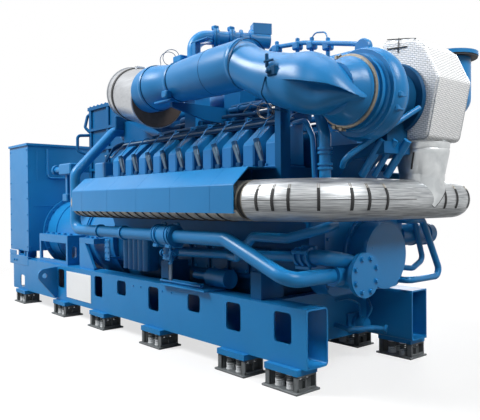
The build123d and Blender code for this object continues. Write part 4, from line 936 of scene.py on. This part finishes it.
ductPoints = radii[:, None, None] * arcWays(fullTurn(64), yAxis, zAxis) + [0, duct["y"], duct["z"]]
ductPoints[..., 0] = s[:, None]
# points behind the sleeve's front plane are drawn forward onto it
behind = (ductPoints - sleeve["front"]) @ sleeveWay
ductPoints[..., 0] += np.maximum(behind, 0) / -sleeveWay[0]
ductFoot = {
    "lug": (box, (1.15, -0.952, 2.225), (1.225, -0.89, 2.285), 0.008),
    "plate": (box, (1.00, -0.93, 2.195), (1.24, -0.87, 2.215)),
}
buildPiece("rolled_duct", [capped(ductPoints)] + shapesOf(ductFoot), castEnamel, "intake_duct", 40)
# dark rings by the beads: partly rubber gaskets, partly painted shade in the grooves
gaskets = [ring(*sizes, (x, duct["y"], duct["z"]), xAxis, 72) for *sizes, x in duct["gaskets"]]
gaskets.append(ring(0.1865, 0.018, 0.005, (2.062, duct["y"], 2.372), (1, 0, -0.25), 72))
buildPiece("duct_gaskets", gaskets, deepEnamelAndShade)


def sleeveRing(run, width, height):
    return ring(sleeve["radius"], width, height, sleeve["front"] + sleeveWay * run, sleeveWay, 72)


clip = sleeve["front"] + sleeveWay * 0.53 + np.array([0.2, -0.04, 0.97]) * (sleeve["radius"] + 0.012)
rims = [sleeveRing(sleeve["length"] - 0.011, 0.02, 0.006), sleeveRing(0.012, 0.016, 0.004)]
buildPiece("sleeve_rims", rims + [block(clip, (0.02, 0.05, 0.012), 0.005)], drumStainless)
buildPiece("sleeve_strap", [sleeveRing(0.56, 0.042, 0.006)], blackStrap)
# dark brown disc on the sleeve's front end: painted shade of the end face below the collar
capProfile = [(-0.004, 0.0), (-0.004, 0.252), (0.001, 0.258), (0.001, 0.0)]
buildPiece("sleeve_cap", [lathe(capProfile, sleeve["front"], sleeveWay, 64)], capShadeBrown)

# Valley between the banks: pipes, hoses and clamps under the duct, a sensor with its coiled capillary
valley = {
    "runs": (  # from, to, y, z, radius
        (1.28, 2.24, -0.29, 2.165, 0.028), (1.27, 2.30, -0.21, 2.105, 0.034),
        (0.30, 1.07, -0.21, 2.12, 0.030), (0.20, 1.07, -0.05, 2.20, 0.05),
        (-0.30, 1.07, -0.27, 2.06, 0.024), (-0.38, 2.28, 0.28, 2.08, 0.030),
    ),
    "clamps": (1.36, 1.52, 1.66, 1.83, 1.98, 2.12),
    "hoses": ((-0.345, 2.095), (-0.325, 2.055), (-0.15, 2.17), (-0.25, 2.20)),
    "units": ((0.42, -0.25), (0.56, -0.22), (0.78, -0.26), (0.93, -0.24)),
}
valleyShapes = [tube(np.linspace((x0, y, z), (x1, y, z), 3), r, 14) for x0, x1, y, z, r in valley["runs"]]
for k, x in enumerate(valley["clamps"]):
    valleyShapes.append(box((x - 0.022, -0.33, 1.90), (x + 0.022, -0.17, 2.06 + 0.03 * (k % 3))))
    valleyShapes.append(ring(0.028, 0.022, 0.009, (x + 0.05, -0.29, 2.165), xAxis, 20))
# pipes and clamps in the darker paint: painted shade under the duct
buildPiece("valley_pipes", valleyShapes, paintedShadeEnamel)
hoseShapes = []
s = np.linspace(1.24, 2.26, 30)
for k, (y, z) in enumerate(valley["hoses"]):
    path = np.column_stack([s, y + 0.008 * np.sin(9 * s + k), z + 0.01 * np.sin(6 * s + 2 * k)])
    hoseShapes.append(tube(path, 0.015, 8))
for x, y in valley["units"]:
    hoseShapes.append(box((x - 0.03, y - 0.05, 1.90), (x + 0.03, y + 0.05, 2.02), 0.008))
    hoseShapes.append(tube([(x, y, 2.0), (x + 0.02, y, 2.12)], 0.016, 8))
# hoses and units in the darkest paint: painted shade under the duct
buildPiece("valley_hoses", hoseShapes, deepEnamelAndShade)

acrossView = np.array([0.65, 0.76, 0])
wireLoop = {"from": (0.316, -0.27, 2.851), "to": (0.227, -0.27, 2.827), "radius": 0.075, "wire": 0.0035}
loops = np.linspace(wireLoop["from"], wireLoop["to"], 70)
loops += wireLoop["radius"] * arcWays(np.linspace(-0.6, 3.6 + tau, 70), acrossView, zAxis)
loopPath = np.concatenate([[(0.48, -0.25, 2.78)], loops, [(0.15, -0.31, 2.60), (0.10, -0.27, 2.07)]])
buildPiece("wire_loops", [tube(loopPath, wireLoop["wire"], 6)], deepEnamelAndShade)
coilTurns = arcWays(np.linspace(0.2, 2.2 * tau, 60), 0.058 * acrossView, 0.062 * zAxis)
coil = np.array([1.94, -0.50, 2.065]) + coilTurns + np.linspace(0, 0.03, 60)[:, None] * acrossView
onRun = [coil[-1], (2.05, -0.52, 2.16), (2.20, -0.66, 2.17), (2.42, -0.83, 2.10)]
backRun = [(1.60, -0.42, 2.10), (1.74, -0.46, 2.15), (1.90, -0.50, 2.10), coil[0]]
capillary = {
    "coil": (tube, coil, 0.0022, 6),
    "on to the inlet": (pipe, onRun, 0.05, 0.0022, 6, 6),
    "back to the valley": (pipe, backRun, 0.03, 0.0022, 6, 6),
}
buildPiece("capillary", shapesOf(capillary), clampSteel)
sensorLead = [(2.46, -0.965, 2.19), (2.42, -0.97, 2.08), (2.44, -0.90, 1.98), (2.50, -0.80, 1.96)]
sensor = {
    "head": (box, (2.475, -0.972, 2.185), (2.56, -0.93, 2.255), 0.008),
    "plug": (tube, [(2.50, -0.965, 2.22), (2.49, -0.985, 2.225)], 0.02),
    "stem": (box, (2.455, -0.968, 2.25), (2.475, -0.945, 2.345), 0.004),
    "bar": (box, (2.44, -0.968, 2.285), (2.53, -0.95, 2.30), 0.004),
    "lead": (pipe, sensorLead, 0.04, 0.005, 6, 6),
}
buildPiece("inlet_sensor", shapesOf(sensor), deepEnamelAndShade)
print("intake dressed")

# Gas pipe: clamp flanges, bracket to the duct, and the small valve rail
gas = {
    "top": (0.70, -0.27, 2.963), "turn": math.radians(62.0),
    "flanges": (0.20, 0.225, 0.36, 0.385, 0.47), "clamps": (0.2125, 0.3725), "bracketX": 1.20,
    "rail": ((1.85, -0.35, 2.605), (2.25, -0.36, 2.565), (2.734, -0.39, 2.451)),
    "valves": (1.95, 2.18, 2.33, 2.49),
}
gasWay = np.array([math.cos(gas["turn"]), math.sin(gas["turn"]), 0])
gasShapes = [ring(0.067, 0.02, 0.028, gas["top"] + gasWay * run, gasWay, 40) for run in gas["flanges"]]
for run in gas["clamps"]:
    boltCircle(gas["top"] + gasWay * (run + 0.023), gasWay, 0.083, 8, 0.011)
    gasShapes.append(block(gas["top"] + gasWay * run + [0, 0, 0.10], (0.03, 0.03, 0.02), 0.008))
x = gas["bracketX"]
bypass = [(2.33, -0.355, 2.57), (2.35, -0.355, 2.62), (2.47, -0.355, 2.60), (2.49, -0.355, 2.53)]
gasParts = {
    "valve foot": (box, (0.46, -0.36, 2.738), (0.60, -0.18, 2.80), 0.008),
    "bracket post": (box, (x, -0.66, 2.53), (x + 0.05, -0.60, 2.74), 0.004),
    "bracket arm": (box, (x - 0.02, -0.66, 2.728), (x + 0.22, -0.60, 2.742), 0.004),
    "bracket rod": (tube, [(x + 0.025, -0.63, 2.735), (0.79, -0.10, 2.93)], 0.014, 8),
    "rail": (pipe, [(1.85, -0.35, 2.02), *gas["rail"], (2.81, -0.40, 2.43)], 0.07, 0.018),
    "bypass": (pipe, bypass, 0.05, 0.006, 6),
}
railX, _, railZ = zip(*gas["rail"])
for x in gas["valves"]:
    z = np.interp(x, railX, railZ)
    gasShapes.append(box((x - 0.035, -0.39, z - 0.05), (x + 0.035, -0.32, z + 0.012), 0.01))
    gasShapes.append(tube([(x, -0.355, z - 0.04), (x, -0.355, 2.02)], 0.016, 8))
    gasShapes.append(box((x - 0.014, -0.37, z + 0.01), (x + 0.014, -0.34, z + 0.045)))
buildPiece("gas_fittings", gasShapes + shapesOf(gasParts), castEnamel)

# Mixture cooler: flange bolts, corner straps, hoses behind
cooler = {
    "rear": -1.375, "front": -0.43, "half": 0.35, "face": 0.372, "bottom": 1.5, "top": 2.48, "post": 0.06,
}
rear, front, bottom, top = (cooler[k] for k in ("rear", "front", "bottom", "top"))
wedge = [(x, -0.42, z) for x, z in ((-0.43, 2.24), (-0.35, 2.24), (0.17, 2.03), (0.17, 1.995), (-0.43, 2.0))]
highHose = [(-1.375, -0.33, 2.44), (-1.42, -0.36, 2.44), (-1.42, -0.40, 2.28), (-1.375, -0.36, 2.22)]
lowHose = [(-1.36, -0.35, 2.18), (-1.40, -0.51, 2.17), (-1.40, -0.51, 1.98), (-1.30, -0.37, 1.92)]
coolerParts = {
    "high hose": (pipe, highHose, 0.04, 0.019, 10, 7),
    "low hose": (pipe, lowHose, 0.04, 0.019, 10, 7),
    "wedge": (prism, wedge, (0, 0.2, 0), 0.01),
    "bracket": (box, (-0.46, -0.52, 2.15), (-0.42, -0.36, 2.30), 0.008),
}
coolerShapes = shapesOf(coolerParts)
for side in sides:
    y0, y1 = side * cooler["half"], side * cooler["face"]
    for x in (rear, front - cooler["post"], (rear + front - cooler["post"]) / 2):
        coolerShapes.append(box((x, y0, bottom), (x + cooler["post"], y1, top)))
for y in np.linspace(-0.3, 0.3, 6):
    coolerShapes.append(box((rear - 0.02, y - 0.02, bottom), (rear, y + 0.02, top)))
# the cooler's trim takes the darker paint: painted shade, as on the cooler
buildPiece("cooler_trim", coolerShapes, paintedShadeEnamel)
pairedBolts((rear + 0.03, 0.362, 2.52), (front - 0.03, 0.362, 2.52), 10, zAxis, 0.015)
endProfile = [(0, 0), (0, 0.06), (0.03, 0.065), (0.05, 0.05), (0.05, 0)]
actuator = {
    "body": (box, (-1.70, -0.63, 1.69), (-1.37, -0.49, 1.83), 0.014),
    "barrel": (tube, [(-1.70, -0.56, 1.76), (-1.90, -0.56, 1.765)], 0.04, 16),
    "end": (lathe, endProfile, (-1.90, -0.56, 1.765), -xAxis, 24),
    "arm": (box, (-1.43, -0.50, 1.72), (-1.375, -0.33, 1.80)),
    "post": (box, (-1.60, -0.585, 1.42), (-1.55, -0.535, 1.70)),
    "foot": (box, (-1.64, -0.61, 1.36), (-1.51, -0.51, 1.46), 0.01),
    "stay": (tube, [(-1.575, -0.55, 1.38), (-1.45, -0.40, 1.28)], 0.02, 10),
}
buildPiece("speed_actuator", shapesOf(actuator), castEnamel)
print("gas train and cooler dressed")

# Near pipes: rings and coupling on the water pipe, the second pipe, the lower pipe, the hose
water = {"y": -0.95, "z": 1.06, "radius": 0.053, "rings": (0.03, 0.50), "coupling": (1.135, 1.325)}


def onWaterPipe(x):
    return np.array([x, water["y"], water["z"]])


def aroundPipe(centre, radius, degrees):
    # a place round a pipe that runs along x
    a = math.radians(degrees)
    return np.add(centre, (0, radius * math.cos(a), radius * math.sin(a)))


pipeShapes = [ring(water["radius"], 0.03, 0.014, onWaterPipe(x), xAxis, 32) for x in water["rings"]]
for x in water["coupling"]:
    centre = onWaterPipe(x)
    pipeShapes.append(ring(0.083, 0.05, 0.009, centre, xAxis, 40))
    for shift in (-0.02, 0.02):
        pipeShapes.append(ring(0.085, 0.01, 0.014, centre + shift * xAxis, (1, 0, 0.25), 40))
    for degrees in (75, 235, 300):
        place = aroundPipe(centre, 0.1, degrees)
        pipeShapes.append(block(place, (0.032, 0.015, 0.015)))
        boltsAt([place + 0.032 * xAxis], xAxis, 0.012)
drainHose = [(1.24, -0.92, 0.99), (1.27, -0.95, 0.95), (1.25, -0.93, 0.83), (1.18, -0.90, 0.82)]
drain = {
    "neck": (tube, [(1.19, -0.93, 0.99), (1.19, -0.92, 0.86)], 0.028, 14),
    "body": (box, (1.13, -0.945, 0.845), (1.24, -0.885, 0.89), 0.012),
    "bar": (tube, [(1.08, -0.915, 0.905), (1.31, -0.915, 0.92)], 0.02),
    "handle": (tube, [(1.25, -0.95, 0.86), (1.30, -0.965, 0.94)], 0.009, 8),
    "hose": (pipe, drainHose, 0.03, 0.014, 10, 6),
}
drainShapes = shapesOf(drain)
for x, z in ((1.10, 0.906), (1.29, 0.919), (1.16, 0.91), (1.23, 0.914)):
    drainShapes.append(ring(0.019, 0.016, 0.012, (x, -0.915, z), xAxis, 16))
drainShapes += [ring(0.027, 0.014, 0.012, (1.19, -0.925, z), zAxis, 20) for z in (0.90, 0.945)]
buildPiece("foot_post", [box((0.875, -0.71, 0.60), (0.92, -0.69, 0.79), 0.005)], greyConduit)
buildPiece("drain_valve", drainShapes, castEnamel)
secondRun = [(1.70, -0.66, 0.90), (1.86, -0.72, 0.90), (2.05, -0.72, 1.075), (2.42, -0.72, 1.075)]
secondRun += [(2.66, -0.60, 1.15), (2.62, -0.44, 1.17)]
lowerRun = [(0.80, -0.47, 0.88), (0.86, -0.62, 0.88), (1.72, -0.62, 0.91), (2.46, -0.62, 0.94)]
pumpRun = [(2.42, -0.62, 0.94), (2.66, -0.61, 0.945), (2.69, -0.50, 0.93), (2.69, -0.36, 0.90)]
hoseRun = [(2.5, -0.44, 1.36), (2.635, -0.56, 1.5), (2.635, -0.56, 1.8)]
hoseRun += [(2.55, -0.52, 1.96), (2.44, -0.42, 2.02)]
branchRun = [(2.28, -0.50, 1.93), (2.44, -0.55, 1.93), (2.52, -0.56, 1.80), (2.52, -0.54, 1.50)]
sidePipes = {
    "second pipe": (pipe, secondRun, 0.06, 0.036, 14),
    "lower pipe": (pipe, lowerRun, 0.05, 0.038, 14),
    "pump pipe": (pipe, pumpRun, 0.05, 0.056, 16),
    "hose": (pipe, hoseRun, 0.07, 0.042, 14),
    "branch": (pipe, branchRun, 0.08, 0.02),
}
pipeShapes += shapesOf(sidePipes)
pumpJoint = (2.50, -0.62, 0.941)
for shift in (-0.06, 0, 0.06):
    pipeShapes.append(ring(0.055, 0.022, 0.016, pumpJoint + shift * xAxis, (1, 0, 0.2), 32))
for degrees in (60, 150, 250):
    pipeShapes.append(block(aroundPipe(pumpJoint, 0.078, degrees), (0.07, 0.014, 0.014), 0.005))
pipeShapes += [ring(0.041, 0.016, 0.012, (2.635, -0.56, z), zAxis, 24) for z in (1.57, 1.60, 1.68, 1.71)]
buildPiece("side_pipes", pipeShapes, sheetEnamel)

shelf = {
    "tray": (box, (0.86, -0.795, 0.592), (1.52, -0.56, 0.606), 0.004),
    "lip": (box, (0.76, -0.70, 0.606), (1.38, -0.685, 0.642), 0.004),
    "rod": (tube, [(0.78, -0.735, 0.625), (1.40, -0.735, 0.625)], 0.01, 8),
    "strip": (box, (-0.56, -0.60, 0.70), (-0.45, -0.585, 0.94)),
    "strip foot": (box, (-0.55, -0.59, 0.72), (-0.46, -0.455, 0.74), 0.004),
}
buildPiece("side_shelf", shapesOf(shelf), sheetEnamel)
for x in (-0.535, -0.475):
    boltRow((x, -0.60, 0.73), (x, -0.60, 0.91), 4, -yAxis, 0.011)

# Free end: bolts on the covers, rim of the round cover, priming motor between the rails
boltCircle((2.825, -0.35, 0.815), xAxis, 0.125, 8, 0.02, 0.5)  # water pump
boltCircle((2.59, 0, 0.93), xAxis, 0.269, 20, 0.012)  # round cover
boltCircle((2.495, 0.98, 1.05), yAxis, 0.07, 6, 0.012)  # far motor
caseEdge = [(2.56, -0.45, 0.70), (2.56, -0.45, 1.30), (2.56, 0.45, 1.30), (2.56, 0.45, 0.70)]
for start, end, count in zip(caseEdge, caseEdge[1:], (6, 8, 6)):
    boltRow(start, end, count, xAxis, 0.016)
rimProfile = [(0, 0.2), (0, 0.285), (0.022, 0.285), (0.03, 0.277), (0.03, 0.2)]
faceProfile = [(0, 0.236), (0, 0.2515), (0.012, 0.2515), (0.012, 0.236)]
motorProfile = [(0, 0), (0, 0.06), (0.09, 0.06), (0.11, 0.05), (0.11, 0)]
primingHose = [(2.16, 0.10, 0.30), (2.30, 0.12, 0.28), (2.36, 0.36, 0.27), (2.44, 0.42, 0.262)]
thickLead = [(2.28, 0.36, 0.33), (2.33, 0.38, 0.42), (2.22, 0.46, 0.50), (2.14, 0.42, 0.60)]
thinLead = [(2.24, 0.34, 0.34), (2.26, 0.30, 0.47), (2.22, 0.18, 0.52), (2.16, 0.10, 0.50)]
freeEnd = {
    "cover rim": (lathe, rimProfile, (2.56, 0, 0.93), xAxis, 72, True),
    "cover ring": (lathe, faceProfile, (2.737, 0, 0.93), xAxis, 72, True),
    "motor plate": (box, (2.16, 0.245, 0.215), (2.185, 0.41, 0.375)),
    "motor": (lathe, motorProfile, (2.185, 0.355, 0.29), xAxis, 24),
    "motor flange": (lathe, [(0, 0), (0, 0.07), (0.03, 0.07), (0.03, 0)], (2.185, 0.355, 0.29), xAxis, 8),
    "hose": (pipe, primingHose, 0.05, 0.022, 12),
    "hose end": (ring, 0.018, 0.02, 0.018, primingHose[-1], (1, 0.5, -0.1), 28),
    "thick lead": (pipe, thickLead, 0.04, 0.01, 8),
    "thin lead": (pipe, thinLead, 0.04, 0.008, 8),
    "far motor's outer ring": (ring, 0.089, 0.03, 0.012, (2.495, 0.90, 1.05), yAxis, 40),
    "far motor's inner ring": (ring, 0.089, 0.02, 0.008, (2.495, 0.70, 1.05), yAxis, 40),
}
buildPiece("free_end_trim", shapesOf(freeEnd), castEnamel)
farRun = [(2.58, 0.55, 1.26), (2.6, 0.61, 1.14), (2.6, 0.725, 0.84), (2.6, 0.57, 0.775), (2.55, 0.46, 0.79)]
buildPiece("far_pipes", [pipe(farRun, 0.05, 0.024)], castEnamel)

# Outlet's gasket, and the bolts and nuts of every stage
buildPiece("outlet_gasket", [ring(0.15, 0.012, 0.05, (2.908, 0.65, 2.468), zAxis)], blackStrap)
buildPiece("painted_bolts", paintedBolts, castEnamel)
buildPiece("bright_nuts", [brightNuts], brightSteel)
print("pipes and free end dressed")
